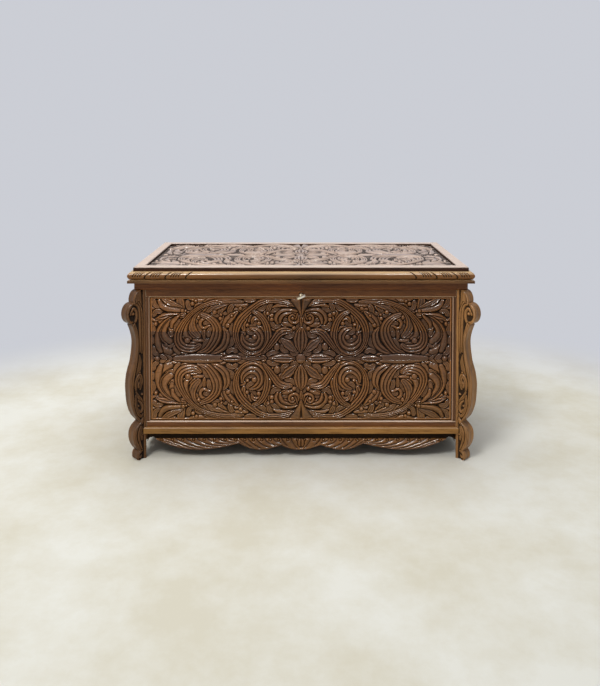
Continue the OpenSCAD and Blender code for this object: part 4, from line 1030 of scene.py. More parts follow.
# %% [markdown]
# ## Moulded lid frame
#
# A moulding is a profile carried along a stick, cut with a moulding plane. The lid frame has a
# round nose with a fine groove under it. Near its front corners the nose is cut like a rope: from
# the corner, four short slanted strokes and one deep curved cut, three times over. A bevelled curve
# would make a plain moulding. The cuts need points of their own, so the profile is carried along by
# arrays here, and the cuts are measured along the moulding and round the nose.

# %% Rope cuts
LID_Z, LID_TOP = span("lid_moulding_front")[0][2], span("lid_moulding_left")[1][2]
LID_OUT = 12.0
NOSE_RX, NOSE_RY = 6.5, 5.5
FRAME_IN = 28.0
ROPE_CUTS = (25.0, 53.5, 82.0)
ROPE_STROKES = [middle + step for middle in (13.5, 38.5, 66.5) for step in (-5.1, -1.7, 1.7, 5.1)]


def nose_cuts(d, turn):
    """Depth of the rope cuts at distance d from the corner and turn from 0, on top of the nose,
    to 1, under it: V-shaped valleys along slanted lines, faded out towards both ends."""
    depth = 0.0 * d
    for place in ROPE_CUTS:
        line = place - 5.0 * (turn - 0.45) + 1.3 * np.sin(2 * math.pi * turn)
        valley = 1.5 * (1 - np.abs(d - line) / 1.3)
        depth = np.maximum(depth, valley * ease(turn * 6) * ease((1 - turn) * 6))
    for place in ROPE_STROKES:
        line = place - 6.0 * (turn - 0.35)
        valley = 1.4 * (1 - np.abs(d - line) / 0.85)
        depth = np.maximum(depth, valley * ease((turn - 0.1) * 12) * ease((0.62 - turn) * 12))
    return np.maximum(depth, 0)


print("rope cuts at", ROPE_CUTS, "and", len(ROPE_STROKES), "strokes")

# %% [markdown]
# The sticks of the frame meet in mitres, so each ring's points stop at a place that grows with
# their distance out. The front stick also has a shallow recess for the plate that the lock grips.

# %% Lid frame
PLATE_HALF, PLATE_DEEP = 21.2, 7.2
ROPED = 95.0  # length of nose at a corner that the rope cuts take up


def moulding(n, name, roped, pocket=0.0):
    """The frame member on side n. Its rings are the profile at many places along the wall, close
    together where the nose is roped. pocket is the depth of the recess for the lock's plate."""
    half = HALF_W if n % 2 == 0 else HALF_D
    dense = np.arange(0, 93, 0.35)
    turn = np.linspace(0, 1, 37)
    angle = np.radians(90 + 180 * turn)
    nose = np.stack([-LID_OUT + NOSE_RX + NOSE_RX * np.cos(angle),
                     LID_TOP - LID_Z - NOSE_RY + NOSE_RY * np.sin(angle)], 1)
    lock_y = span("link_plate")[0][1] + HALF_D
    plate_end = lock_y + PLATE_DEEP
    bottom = [(-9, 4.2), (-9, 3.6), (-12, 3.6), (-12, 0), (-9, 0), (lock_y - 0.1, 0), (lock_y, 0),
              (plate_end, 0), (plate_end + 0.1, 0), (FRAME_IN, 0)]
    top = [(FRAME_IN, 11.6), (9, 11.6), (9, 15.6)]
    profile = np.vstack([nose, bottom, top])
    where = np.full(len(profile), 2.0)
    where[:len(turn)] = turn
    on_nose = where[None, :] <= 1
    y, z = profile[None, :, 0], profile[None, :, 1]
    end = half - y - SEAM
    middle = [-PLATE_HALF - 0.1, -PLATE_HALF, PLATE_HALF, PLATE_HALF + 0.1] if pocket else [0.0]
    shy = 0.01 * np.arange(len(dense), 0, -1)[:, None]
    shy = PLATE_HALF + 0.3 + shy if pocket else shy
    first = np.minimum(-end + dense[:, None], -shy)
    rings = np.concatenate([first, np.array(middle)[:, None] + 0 * end, -first[::-1]])
    near = {"both": np.minimum(end - rings, end + rings), "left": end + rings,
            "right": end - rings}[roped]
    cut = np.where(on_nose, nose_cuts(near, where[None, :]), 0)
    swell = np.cos(np.clip(where, 0, 1) * math.pi - math.pi / 2)
    ring_y = y + cut * 0.9 * swell
    ring_z = z + cut * np.where(on_nose, -np.cos(where * math.pi), 0)
    over_plate = (y >= lock_y - 0.01) & (y <= plate_end + 0.01) & (z == 0)
    ring_z = ring_z + np.where((np.abs(rings) < PLATE_HALF + 0.05) & over_plate, pocket, 0.0)
    piece = loft(f"{name}_shaped", on_side(n, rings, ring_y, LID_Z + ring_z))
    # The roped nose takes the light tone between its cuts, wear together with a painted highlight, and
    # the dark tone in the cuts, stain together with painted shade.
    crest = np.where((near < ROPED) & on_nose, 1 - cut, 0.1)
    paint(piece, hollow=np.clip(cut * 1.1, 0, 1), crest=crest)
    piece.data.polygons.foreach_set("use_smooth", np.ones(len(piece.data.polygons), bool))
    piece.data.set_sharp_from_angle(angle=math.radians(38))
    return replace(piece, "lid", "walnut", name)


carved["lid_front"] = moulding(0, "lid_moulding_front", "both", pocket=1.2)
carved["lid_right"] = moulding(1, "lid_moulding_right", "left")
carved["lid_left"] = moulding(3, "lid_moulding_left", "right")
print("lid frame moulded")

# %% [markdown]
# ## Velvet pads
#
# Velvet is glued over thin padding on the floor, the walls, the tray and the lid. A cloth simulation
# could drape it, but glued velvet hardly moves: it swells a little in the middle and pulls in at the
# edges. A formula gives just that. A pad is a block wrapped in one grid of points, so its pile has
# no seam to hide.

# %% Pads
PAD_RINGS, PAD_COLUMNS = 18, 56
PAD_POWER = 44.0  # the higher, the squarer the corners of a pad


def pad(name, low, high, crown, axis, body, node, fill=0.8):
    """A padded block between two corners. Along it the outline is a rounded square, |c|^44 + |d|^44
    = 1. In the thin direction, axis, both faces follow (1 - s^6)^(1/3), where s runs from the middle
    to the edge, with `crown` mm of swell in the middle."""
    low, high = np.array(low, float), np.array(high, float)
    size = high - low
    t = np.linspace(0, 2 * math.pi, PAD_COLUMNS, endpoint=False)[None, :]
    reach = (np.abs(np.cos(t)) ** PAD_POWER + np.abs(np.sin(t)) ** PAD_POWER) ** (-1 / PAD_POWER)
    ring = 1 - (1 - np.linspace(0.02, 1, PAD_RINGS)[:, None]) ** 1.6
    thin = (1 - ring**6) ** (1 / 3)
    across, down = ring * (reach * np.cos(t)), ring * (reach * np.sin(t))
    swell = (1 - across**2) * (1 - down**2)
    upper = (size[axis] / 2 - crown) * thin + crown * swell * thin
    across = np.concatenate([across, across[::-1]])
    down = np.concatenate([down, down[::-1]])
    level = np.concatenate([upper, -upper[::-1]])
    middle = (low + high) / 2
    first, second = [k for k in range(3) if k != axis]
    points = np.zeros((*across.shape, 3))
    points[..., first] = middle[first] + across * size[first] / 2
    points[..., second] = middle[second] + down * size[second] / 2
    points[..., axis] = middle[axis] + level
    piece = loft(name, points * MM)
    replace(piece, body, "velvet", node)
    return piece


velvets = [
    pad("floor_velvet", *span("floor_pad"), 0.8, 2, "case", "floor_pad"),
    pad("tray_velvet", *span("tray_bottom"), 0.6, 2, "tray", "tray_bottom"),
    pad("lid_velvet", *span("lid_lining"), 1.4, 2, "lid", "lid_lining"),
]
print("velvet pads:", len(velvets))

# %% [markdown]
# The walls are lined too. Along the front the lining stops on both sides of the lock and passes
# under it, so it is three pads there and one on each other wall. One band bent round the corners
# would look the same, but real linings are cut and butted like this.

# %% Wall linings
x0, y0, z0 = span("wall_linings")[0]
x1, y1, z1 = span("wall_linings")[1]
lock_low, lock_high = span("lock_case")
LINING_T = 1.6
LOCK_SIDE = lock_high[0] + 1
UNDER_LOCK = lock_low[2] - 1
walls = {
    "back": ((x0, y1 - LINING_T, z0), (x1, y1, z1), 1),
    "front_left": ((x0, y0, z0), (-LOCK_SIDE, y0 + LINING_T, z1), 1),
    "front_right": ((LOCK_SIDE, y0, z0), (x1, y0 + LINING_T, z1), 1),
    "front_middle": ((-LOCK_SIDE, y0, z0), (LOCK_SIDE, y0 + LINING_T, UNDER_LOCK), 1),
    "left": ((x0, y0 + LINING_T, z0), (x0 + LINING_T, y1 - LINING_T, z1), 0),
    "right": ((x1 - LINING_T, y0 + LINING_T, z0), (x1, y1 - LINING_T, z1), 0),
}
for place, (low, high, axis) in walls.items():
    velvets.append(pad(f"{place}_wall_velvet", low, high, 0.3, axis, "case", "wall_linings"))
print("velvet pads:", len(velvets))

# %% [markdown]
# Rings stand in the gaps between padded rolls. A roll is foam in a velvet sleeve, gathered at both
# ends. A capsule primitive would be close, but has no gathers. Circles carried along a bar, drawn in
# at the ends and waved a little there, show them.

# %% Ring rolls
ROLL_END = 5.0  # length over which a roll is drawn in


def roll(k, count):
    """A ring roll: circles along a bar, drawn in at both ends by a quarter circle, with a fine
    pucker of twelve waves where the velvet is gathered."""
    low, high = span("ring_rolls")
    radius = (high[2] - low[2]) / 2
    pitch = (high[1] - low[1] - 2 * radius) / (count - 1)
    centre_y, centre_z = low[1] + radius + pitch * k, low[2] + radius
    quarter = np.linspace(0.03, math.pi / 2, 9)
    size = np.concatenate([np.sin(quarter), np.ones(58), np.sin(quarter)[::-1]])
    along = np.concatenate([low[0] + ROLL_END * (1 - np.cos(quarter)),
                            np.linspace(low[0] + ROLL_END, high[0] - ROLL_END, 60)[1:-1],
                            high[0] - ROLL_END * (1 - np.cos(quarter[::-1]))])
    turn = np.linspace(0, 2 * math.pi, 48, endpoint=False)
    pucker = 1 - 0.02 * (1 - size[:, None]) * np.cos(12 * turn)[None, :]
    r = radius * 0.995 * size[:, None] * pucker
    y, z = centre_y + r * np.cos(turn), centre_z + r * np.sin(turn)
    points = np.stack(np.broadcast_arrays(along[:, None], y, z), -1)
    piece = loft(f"ring_roll_{k + 1}", points * MM)
    replace(piece, "tray", "velvet", "ring_rolls")
    return piece


velvets += [roll(k, 6) for k in range(6)]
print("rolls added, velvet pieces:", len(velvets))

# %% [markdown]
# ## Finishes
#
# A finish is a small network of shader nodes. It could be a set of painted pictures, but nodes stay
# sharp close up and need no files. These helpers shorten the writing: one makes a material, one adds
# any node, and two more mix and choose colours.

# %% Materials and colours
def new_material(name, **sockets):
    """A material with a Principled shader whose plain sockets are set directly."""
    made = bpy.data.materials.new(name)
    made.use_nodes = True
    tree = made.node_tree
    shader = tree.nodes["Principled BSDF"]
    for socket, value in sockets.items():
        shader.inputs[socket.replace("_", " ")].default_value = value
    return made, tree, shader


def node(tree, kind, inputs=(), **settings):
    """Adds a node, sets its options, and fills its inputs with numbers or links."""
    made = tree.nodes.new(kind)
    for key, value in settings.items():
        setattr(made, key, value)
    for key, value in dict(inputs).items():
        if isinstance(value, bpy.types.NodeSocket):
            tree.links.new(value, made.inputs[key])
        else:
            made.inputs[key].default_value = value
    return made


def blend(tree, factor, a, b, mode="MIX"):
    """Mixes two colours by a factor."""
    made = node(tree, "ShaderNodeMix", data_type="RGBA", blend_type=mode)
    for key, value in ((0, factor), (6, a), (7, b)):
        if isinstance(value, bpy.types.NodeSocket):
            tree.links.new(value, made.inputs[key])
        else:
            made.inputs[key].default_value = value if key == 0 else (*value, 1)
    return made.outputs[2]


def ramp(tree, value, *stops):
    """A colour ramp through (place, colour) stops."""
    made = node(tree, "ShaderNodeValToRGB", {"Fac": value})
    elements = made.color_ramp.elements
    while len(elements) < len(stops):
        elements.new(0.5)
    for element, (place, colour) in zip(elements, stops):
        element.position = place
        element.color = (*colour, 1)
    return made.outputs["Color"]


def scaled(colour, factor):
    """A colour times a number."""
    return tuple(min(c * factor, 1.0) for c in colour)


print("a colour at half strength:", scaled((0.2, 0.1, 0.04), 0.5))

# %% [markdown]
# A few kinds of node come again and again: noise, sums, ranges, one part of a vector, and bumps.
# They could be written out each time, as the node editor shows them. A short name for each keeps
# the finishes below readable.

# %% Shader helpers
def noise(tree, vector, scale, detail=2.0, **more):
    """Soft random lumps from 0 to 1: scale is how many go to a metre, and detail adds finer ones."""
    inputs = {"Vector": vector, "Scale": scale, "Detail": detail, **more}
    return node(tree, "ShaderNodeTexNoise", inputs).outputs["Fac"]


def calc(tree, operation, a, b):
    """The product or the larger of two numbers."""
    return node(tree, "ShaderNodeMath", {0: a, 1: b}, operation=operation).outputs[0]


def between(tree, value, start, stop, low=0.0, high=1.0, **settings):
    """Runs from low to high while value goes from start to stop, and no further."""
    inputs = {"Value": value, "From Min": start, "From Max": stop, "To Min": low, "To Max": high}
    return node(tree, "ShaderNodeMapRange", inputs, **settings).outputs[0]


def times(tree, colour, factor):
    """A colour times a number that may come from a node."""
    return node(tree, "ShaderNodeVectorMath", {0: colour, "Scale": factor}, operation="SCALE").outputs[0]


def part(tree, vector, axis):
    """The X, Y or Z part of a vector."""
    return node(tree, "ShaderNodeSeparateXYZ", {0: vector}).outputs[axis]


def fine_bumps(tree, shader, height, strength, distance):
    """Fine bumps that catch the light but don't move the surface."""
    bump = node(tree, "ShaderNodeBump", {"Height": height, "Strength": strength, "Distance": distance})
    tree.links.new(bump.outputs[0], shader.inputs["Normal"])


print("shader helpers ready")

# %% [markdown]
# Walnut shows long fibres, darker growth bands and fine open pores. All are noise stretched along
# the grain, read in the object's own coordinates, so the grain stays with the wood when the lid
# opens. A picture of a plank would be quicker, but it would repeat, and run across the end grain.
#
# The hollows of the carving run to a dark tone and its ridges to a light golden one, by the two
# numbers stored on the points. The dark is stain together with painted shade, and the light is wear
# together with a painted highlight. Upward faces may take a tone of their own, painted light from
# above, and slanting edges another, wear together with a painted highlight. A thin coat of varnish
# shines on what stands up and leaves the hollows dull, which gives the small glints.

# %% Walnut
GRAIN = {"x": (1, 11, 11), "y": (11, 1, 11), "z": (11, 11, 1)}
RUBBED_AND_LIT = (2.3, 2.1, 1.75)  # how much brighter a ridge is, in red, green and blue: wear and a painted highlight


def walnut(name, tone, grain="x", roughness=0.45, gloss=0.5, top=None, worn_lit_arris=None,
           stain_and_shade=0.05, left_light_fade=1.0, seed=0.0):
    """Walnut in one tone with its grain along an axis: growth bands and fibres from stretched
    noise, and soft patches. top is the tone of what faces upwards, painted light from above, and
    worn_lit_arris that of slanting edges, wear together with a painted highlight. stain_and_shade
    is how much of the tone the hollows keep: their dark is stained wood together with painted
    shade. left_light_fade is how much a long board keeps of it from its middle to its right end,
    while its left end is the palest: painted light that falls from the left. gloss is the weight
    of the varnish on what stands up."""
    made, tree, shader = new_material(name, Coat_Roughness=0.16, IOR=1.5, Specular_IOR_Level=0.15)
    place = node(tree, "ShaderNodeTexCoord").outputs
    stretch = node(tree, "ShaderNodeMapping", {"Vector": place["Object"], "Scale": GRAIN[grain],
                                               "Location": (seed, seed, seed)}).outputs[0]
    bands = noise(tree, stretch, 5.5, 5.0, Roughness=0.6, Distortion=0.9)
    fibres = noise(tree, stretch, 42.0, 4.0, Roughness=0.65)
    patches = noise(tree, place["Object"], 9.0)
    base = ramp(tree, bands, (0.3, scaled(tone, 0.62)), (0.5, tone), (0.72, scaled(tone, 1.35)))
    pores = ramp(tree, fibres, (0.36, (0.55, 0.5, 0.46)), (0.52, (1, 1, 1)))
    base = blend(tree, 0.75, base, pores, "MULTIPLY")
    spread = ramp(tree, patches, (0.35, (0.8, 0.76, 0.72)), (0.65, (1.12, 1.1, 1.06)))
    base = blend(tree, 0.8, base, spread, "MULTIPLY")
    # Painted light from the left: the board is lighter at its left end and darker towards its right.
    if left_light_fade < 1:
        base = times(tree, base, between(tree, part(tree, place["Object"], "X"), -0.18, -0.02, 1.1, left_light_fade))
    crest = node(tree, "ShaderNodeAttribute", attribute_name="crest").outputs["Fac"]
    hollow = node(tree, "ShaderNodeAttribute", attribute_name="hollow").outputs["Fac"]
    # Ridges are lightened: wear together with a painted highlight.
    rubbed_and_lit = tuple(min(c * f, 1) for c, f in zip(tone, RUBBED_AND_LIT))
    base = blend(tree, calc(tree, "MULTIPLY", crest, 0.5), base, rubbed_and_lit)
    # Upward faces take the top tone: painted light from above.
    if top:
        lit_from_above = between(tree, part(tree, place["Normal"], "Z"), 0.35, 0.95)
        streaks = ramp(tree, fibres, (0.3, scaled(top, 0.7)), (0.6, scaled(top, 1.1)))
        base = blend(tree, lit_from_above, base, blend(tree, 0.6, top, streaks))
    # Slanting edges take the arris tone: wear together with a painted highlight.
    if worn_lit_arris:
        size = node(tree, "ShaderNodeVectorMath", {0: place["Normal"]}, operation="ABSOLUTE").outputs[0]
        most = calc(tree, "MAXIMUM", part(tree, size, "X"), part(tree, size, "Y"))
        most = calc(tree, "MAXIMUM", most, part(tree, size, "Z"))
        base = blend(tree, between(tree, most, 0.93, 0.8), base, worn_lit_arris)
    # Hollows are darkened: stain together with painted shade.
    base = blend(tree, calc(tree, "MULTIPLY", hollow, 0.97), base, scaled(tone, stain_and_shade))
    tree.links.new(base, shader.inputs["Base Color"])
    for target, raised, sunk in (("Roughness", roughness, 0.9), ("Coat Weight", gloss, 0.0)):
        tree.links.new(between(tree, hollow, 0.0, 1.0, raised, sunk), shader.inputs[target])
    fine_bumps(tree, shader, fibres, 0.3, 0.0004)
    return made


# A ridge is brighter for wear together with a painted highlight.
print("a worn ridge is brighter by", RUBBED_AND_LIT)

# %% [markdown]
# No two planks of walnut are alike, and this box mixes them: the second board of the front is
# nearly black. The pale grey of the lid is painted light from above and a painted reflection of
# the pale room, and the right legs are painted much paler than the left, as painted light from
# the left. One material with a random tone for each object would be shorter. A tone for each gives
# the real order.

# %% Tones of walnut
FRAME_TONE = (0.145, 0.054, 0.015)
# Arris tones lighten slanting edges: wear together with a painted highlight.
FRAME_WORN_LIT_ARRIS = (0.46, 0.31, 0.20)
# The top of the lid frame's nose is painted lighter: painted light from above.
NOSE_TOP_LIGHT = (0.52, 0.34, 0.165)
# Slanting edges of the base strips: wear together with a painted highlight.
STRIP_WORN_LIT_ARRIS = (0.42, 0.26, 0.14)
woods = {
    # Each long board is painted lighter towards its left end: painted light from the left.
    "board_1": walnut("walnut_board_1", (0.198, 0.084, 0.025), "x", left_light_fade=0.40, seed=1.0),
    "board_2": walnut("walnut_board_2", (0.104, 0.046, 0.020), "x", left_light_fade=1.0, seed=4.0),
    "board_3": walnut("walnut_board_3", (0.202, 0.090, 0.030), "x", left_light_fade=0.80, seed=9.0),
    "board_4": walnut("walnut_board_4", (0.180, 0.084, 0.026), "x", left_light_fade=0.85, seed=14.0),
    "end": walnut("walnut_end_boards", (0.200, 0.095, 0.036), "y", seed=3.0),
    "leg_left": walnut("walnut_left_legs", (0.135, 0.062, 0.022), "z", gloss=0.2, seed=5.0),
    # The right legs are painted much paler than the left: painted light that falls from the left.
    "leg_right_lit": walnut("walnut_right_legs_lit", (0.315, 0.157, 0.054), "z", gloss=0.2, seed=5.5),
    "apron": walnut("walnut_aprons", (0.160, 0.068, 0.016), "x", seed=6.0),
    "apron_end": walnut("walnut_end_aprons", (0.200, 0.098, 0.034), "y", seed=6.0),
    # The lid's pale grey tone is painted light from above and a painted reflection of the pale room.
    "lid": walnut("walnut_lid_boards_painted_lit", (0.33, 0.262, 0.24), "x", roughness=0.42, stain_and_shade=0.17, seed=7.0),
    # The border's upward faces take a pale tone: painted light from above.
    "border": walnut("walnut_lid_border", (0.045, 0.014, 0.003), "x", roughness=0.35, gloss=0.1,
                     top=(0.63, 0.50, 0.42), seed=10.0),
    "frame_x": walnut("walnut_frame_long", FRAME_TONE, "x", gloss=0.2, worn_lit_arris=FRAME_WORN_LIT_ARRIS, seed=2.0),
    "frame_y": walnut("walnut_frame_ends", FRAME_TONE, "y", gloss=0.2, worn_lit_arris=FRAME_WORN_LIT_ARRIS, seed=2.5),
    "frame_z": walnut("walnut_stiles", (0.100, 0.040, 0.013), "z", gloss=0.2,
                      worn_lit_arris=(0.36, 0.22, 0.14), seed=8.0),
    "rim": walnut("walnut_rim", (0.170, 0.056, 0.013), "x", gloss=0.2, seed=2.2),
    "nose_x": walnut("walnut_lid_frame_long", (0.130, 0.058, 0.018), "x", roughness=0.38, gloss=0.3,
                     top=NOSE_TOP_LIGHT, seed=11.0),
    "nose_y": walnut("walnut_lid_frame_ends", (0.20, 0.105, 0.044), "y", roughness=0.38, gloss=0.3,
                     top=NOSE_TOP_LIGHT, seed=12.0),
    "strip_x": walnut("walnut_strip_long", (0.290, 0.142, 0.036), "x", gloss=0.2, worn_lit_arris=STRIP_WORN_LIT_ARRIS,
                      seed=13.0),
    "strip_y": walnut("walnut_strip_ends", (0.245, 0.120, 0.032), "y", gloss=0.2, worn_lit_arris=STRIP_WORN_LIT_ARRIS,
                      seed=13.5),
    "plain": walnut("walnut_plain", (0.120, 0.062, 0.030), "x", roughness=0.5, seed=15.0),
}
print("woods:", len(woods))

# %% [markdown]
# ## Velvet and metal
#
# Velvet is short pile. It looks dark from above and bright at a glancing angle, and its pile leans
# this way and that in soft patches. Real hairs by the million would be true, and slow. The sheen of
# the shader gives the bright edge, and noise gives the patches and the pile.

# %% Velvet
def velvet_finish():
    """Wine red velvet: patches of leaning pile, fine specks, and a sheen at glancing angles."""
    made, tree, shader = new_material("wine_velvet", Roughness=0.95, Sheen_Weight=0.9,
                                      Sheen_Roughness=0.35, Specular_IOR_Level=0.2)
    shader.inputs["Sheen Tint"].default_value = (0.75, 0.20, 0.25, 1)
    place = node(tree, "ShaderNodeTexCoord").outputs["Object"]
    lean = noise(tree, place, 14.0, 3.0)
    pile = noise(tree, place, 2600.0)
    colour = ramp(tree, lean, (0.35, (0.10, 0.006, 0.014)), (0.65, (0.20, 0.014, 0.030)))
    speck = ramp(tree, pile, (0.3, (0.6, 0.6, 0.6)), (0.7, (1, 1, 1)))
    tree.links.new(blend(tree, 0.7, colour, speck, "MULTIPLY"), shader.inputs["Base Color"])
    fine_bumps(tree, shader, pile, 0.5, 0.0003)
    return made


VELVET = velvet_finish()
print("velvet ready")

# %% [markdown]
# The hinges and the lock are brass, cast and filed, and a little dull by now. The key is polished
# by the pocket. Polished metal alone would look new, so patches of tarnish are rougher and darker.

# %% Brass and key metal
def metal(name, tone, roughness, worn):
    """Filed metal: tarnish in soft patches that are darker and rougher, and fine scratches."""
    made, tree, shader = new_material(name, Metallic=1.0)
    place = node(tree, "ShaderNodeTexCoord").outputs["Object"]
    patch = noise(tree, place, 120.0, 4.0)
    fine = noise(tree, place, 1500.0)
    colour = ramp(tree, patch, (0.35, scaled(tone, worn)), (0.6, tone))
    tree.links.new(colour, shader.inputs["Base Color"])
    tree.links.new(between(tree, patch, 0.0, 1.0, roughness + 0.15, roughness - 0.05),
                   shader.inputs["Roughness"])
    fine_bumps(tree, shader, fine, 0.15, 0.0001)
    return made


BRASS = metal("satin_brass", (0.62, 0.46, 0.20), 0.38, 0.6)
KEY_METAL = metal("key_brass", (0.86, 0.80, 0.66), 0.30, 0.85)
print("metals ready")

# %% [markdown]
# ## Dressing every piece
#
# A joiner lays the grain along each stick and each board. Every piece could name its own finish, but
# the names already say where a piece belongs. So a list of beginnings tells which wood goes where,
# and the first one that fits counts.

# %% Assign the finishes
def dress(piece, finish):
    """Makes a finish the only material of a piece."""
    piece.data.materials.clear()
    piece.data.materials.append(finish)


def wood_for(name, rules, otherwise="frame_x"):
    """The wood of the first rule whose beginning fits the name."""
    return woods[next((wood for start, wood in rules if name.startswith(start)), otherwise)]


CARVED_WOOD = [
    ("front_1", "board_1"), ("front_2", "board_2"), ("front_3", "board_3"), ("front_4", "board_4"),
    ("right_apron", "apron_end"), ("left_apron", "apron_end"),
    ("front_apron", "apron"), ("back_apron", "apron"),
    ("leg_front_left", "leg_left"), ("leg_back_left", "leg_left"), ("leg", "leg_right_lit"),
    ("lid_front", "nose_x"), ("lid_left", "nose_y"), ("lid_right", "nose_y"), ("lid", "lid"),
    ("right", "end"), ("left", "end"),
]
SOLID_WOOD = [
    ("front_left_stile", "frame_z"), ("front_right_stile", "frame_z"), ("front_", "frame_x"),
    ("left_side", "frame_y"), ("right_side", "frame_y"),
    ("back_boards", "plain"), ("back_", "frame_x"), ("rim", "rim"),
    ("base_strip_front", "strip_x"), ("base_strip_back", "strip_x"), ("base_strip", "strip_y"),
    ("bottom", "plain"), ("tray_runners", "plain"), ("tray", "strip_x"),
    ("lid_border", "border"), ("leg", "leg_left"), ("lid_moulding", "nose_x"), ("lid_boards", "lid"),
]
for key, piece in carved.items():
    dress(piece, wood_for(key, CARVED_WOOD))
for piece in velvets:
    dress(piece, VELVET)
OTHERS = {"velvet": VELVET, "brass": BRASS, "key_metal": KEY_METAL}
for name, solid in nodes.items():
    slot = next(entry["material_slot"] for entry in frame["record"]["subparts"] if entry["node"] == name)
    dress(solid, OTHERS.get(slot) or wood_for(name, SOLID_WOOD))
print("dressed", len(carved) + len(velvets) + len(nodes), "pieces")

# %% [markdown]
# ## Floor and room
#
# The box stands on a pale, plain floor that fades into the pale grey of the room. A bent backdrop of
# paper, as in a studio, would do it with one more object and a soft crease. Here the floor itself
# turns into the grey with distance. That grey is only what is seen, by the camera, in reflections
# and through glass. The light that falls on the wood comes from an even sky and lamps.

# %% Floor
ROOM = (0.60, 0.615, 0.665, 1)


def room_rays(tree):
    """1 for rays that show the room as it looks: from the camera, off varnish, or through glass."""
    rays = node(tree, "ShaderNodeLightPath").outputs
    direct = calc(tree, "MAXIMUM", rays["Is Camera Ray"], rays["Is Glossy Ray"])
    return calc(tree, "MAXIMUM", direct, rays["Is Transmission Ray"])


def floor(half=9.0):
    """A wide pale plane. With the distance from a point in front of the box it turns into the grey
    of the room: what the camera sees far away glows in that grey, whatever light falls there."""
    mesh = bpy.data.meshes.new("floor")
    corners = [(-half, -half, 0), (half, -half, 0), (half, half, 0), (-half, half, 0)]
    mesh.from_pydata(corners, [], [(0, 1, 2, 3)])
    plane = bpy.data.objects.new("floor", mesh)
    bpy.context.scene.collection.objects.link(plane)
    made, tree, shader = new_material("pale_floor", Roughness=0.8, Specular_IOR_Level=0.15)
    place = node(tree, "ShaderNodeTexCoord").outputs["Object"]
    moved = node(tree, "ShaderNodeVectorMath", {0: place, 1: (0, 0.35, 0)}, operation="ADD").outputs[0]
    far = node(tree, "ShaderNodeVectorMath", {0: moved}, operation="LENGTH").outputs["Value"]
    share = between(tree, far, 0.64, 1.0, interpolation_type="SMOOTHSTEP")
    cloud = noise(tree, place, 5.0, 9.0, Roughness=0.68)
    cream = ramp(tree, cloud, (0.38, (0.60, 0.575, 0.48)), (0.60, (0.69, 0.69, 0.64)))
    # The cream is painted lighter towards the back, where the lamps reach less: painted light that keeps
    # the floor evenly bright.
    painted_light_lift = between(tree, part(tree, place, "Y"), -0.6, 0.5, 1.0, 1.25)
    tree.links.new(times(tree, cream, painted_light_lift), shader.inputs["Base Color"])
    glow = node(tree, "ShaderNodeEmission", {"Color": ROOM, "Strength": 1.0})
    factor = calc(tree, "MULTIPLY", share, room_rays(tree))
    mix = node(tree, "ShaderNodeMixShader", {0: factor, 1: shader.outputs[0], 2: glow.outputs[0]})
    tree.links.new(mix.outputs[0], tree.nodes["Material Output"].inputs["Surface"])
    dress(plane, made)
    plane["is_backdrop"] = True


floor()
print("floor laid, room grey", ROOM[:3])

# %% [markdown]
# The world lights the box evenly from all round with a weak, nearly white light. A picture of a real
# room could light it instead, but its windows would show in the varnish.

# %% Sky
SKY_STRENGTH = 0.30


def sky():
    """Even pale light. The camera sees the grey of the room, and so do varnish, metal and glass."""
    world = bpy.data.worlds.new("room")
    bpy.context.scene.world = world
    world.use_nodes = True
    tree = world.node_tree
    light = tree.nodes["Background"]
    light.inputs["Color"].default_value = (0.97, 0.98, 1.0, 1)
    light.inputs["Strength"].default_value = SKY_STRENGTH
    seen = node(tree, "ShaderNodeBackground", {"Color": ROOM, "Strength": 1.0})
    mix = node(tree, "ShaderNodeMixShader", {0: room_rays(tree), 1: light.outputs[0], 2: seen.outputs[0]})
    tree.links.new(mix.outputs[0], tree.nodes["World Output"].inputs["Surface"])


sky()
print("sky set, strength", SKY_STRENGTH)

# %% [markdown]
# ## Lamps
#
# A broad soft lamp hangs over the box and a smaller one stands high to the front left, so that each
# leaf has a light side and a dark side. A sun lamp would draw harder shadows than a room does. Two
# small glint lamps are seen only in reflections. They lay points of light on berries and ridges, as
# windows do on varnish, and leave the brightness of the wood alone.

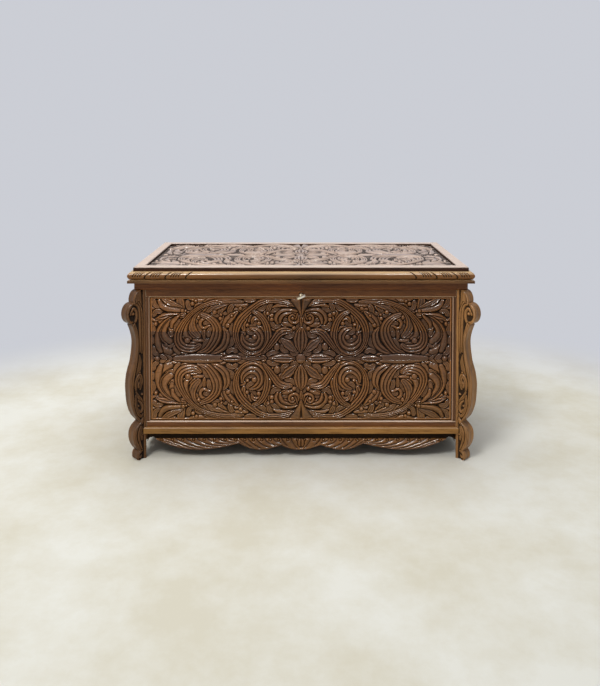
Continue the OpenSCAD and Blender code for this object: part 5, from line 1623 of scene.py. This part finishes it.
# %% Lamps
def softbox(name, place, target, size, power, glint=False):
    """A square area lamp that faces a target. A glint lamp is only mirrored by varnish and brass:
    it lays small highlights on berries and ridges and adds no light to the wood."""
    lamp = bpy.data.lights.new(name, "AREA")
    lamp.size = size
    lamp.energy = power
    lamp.color = (1.0, 0.985, 0.96)
    holder = bpy.data.objects.new(name, lamp)
    bpy.context.scene.collection.objects.link(holder)
    holder.location = place
    holder.visible_diffuse = not glint
    direction = Vector(target) - Vector(place)
    holder.rotation_euler = direction.to_track_quat("-Z", "Y").to_euler()


LOOK_AT = (0, 0, 0.15)
softbox("top_light", (-0.1, 0.1, 1.75), LOOK_AT, 1.5, 19.5)
softbox("key_light", (-0.75, -1.3, 1.75), LOOK_AT, 0.6, 21.0)
softbox("left_glint", (-0.35, -0.85, 1.4), LOOK_AT, 0.2, 16.0, glint=True)
softbox("right_glint", (0.35, -0.85, 1.4), LOOK_AT, 0.2, 16.0, glint=True)

# %% [markdown]
# ## Camera
#
# The camera stands a metre away, a little above the lid, and looks 2 degrees down. It could be
# tilted until the box sits in the middle, but then the upright edges would run together. Shifting
# the lens moves the box into the picture and keeps them nearly upright.

# %% Camera
FRAME_H = 686  # rows of the picture
FOCAL_PX = 698.4  # focal length in rows
CENTRE_PX = 160.1  # row of the picture that the lens points at
SENSOR = 36.0
PITCH = math.radians(2.0)
camera_data = bpy.data.cameras.new("camera")
camera = bpy.data.objects.new("camera", camera_data)
bpy.context.scene.collection.objects.link(camera)
camera_data.sensor_width = SENSOR
camera_data.lens = FOCAL_PX / FRAME_H * SENSOR
camera_data.shift_y = -(FRAME_H / 2 - CENTRE_PX) / FRAME_H
camera.location = (-0.0014, -1.0766, 0.4533)
camera.rotation_euler = (math.pi / 2 - PITCH, 0, 0)
bpy.context.scene.camera = camera
bpy.context.scene.view_settings.view_transform = "Standard"
print("lens", round(camera_data.lens, 2), "shift", round(camera_data.shift_y, 3))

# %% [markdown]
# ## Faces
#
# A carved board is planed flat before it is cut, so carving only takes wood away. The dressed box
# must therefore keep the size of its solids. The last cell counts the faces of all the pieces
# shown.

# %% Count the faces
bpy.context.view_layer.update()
faces = sum(len(p.data.polygons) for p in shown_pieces() if p.type == "MESH")
print("faces in all:", faces)
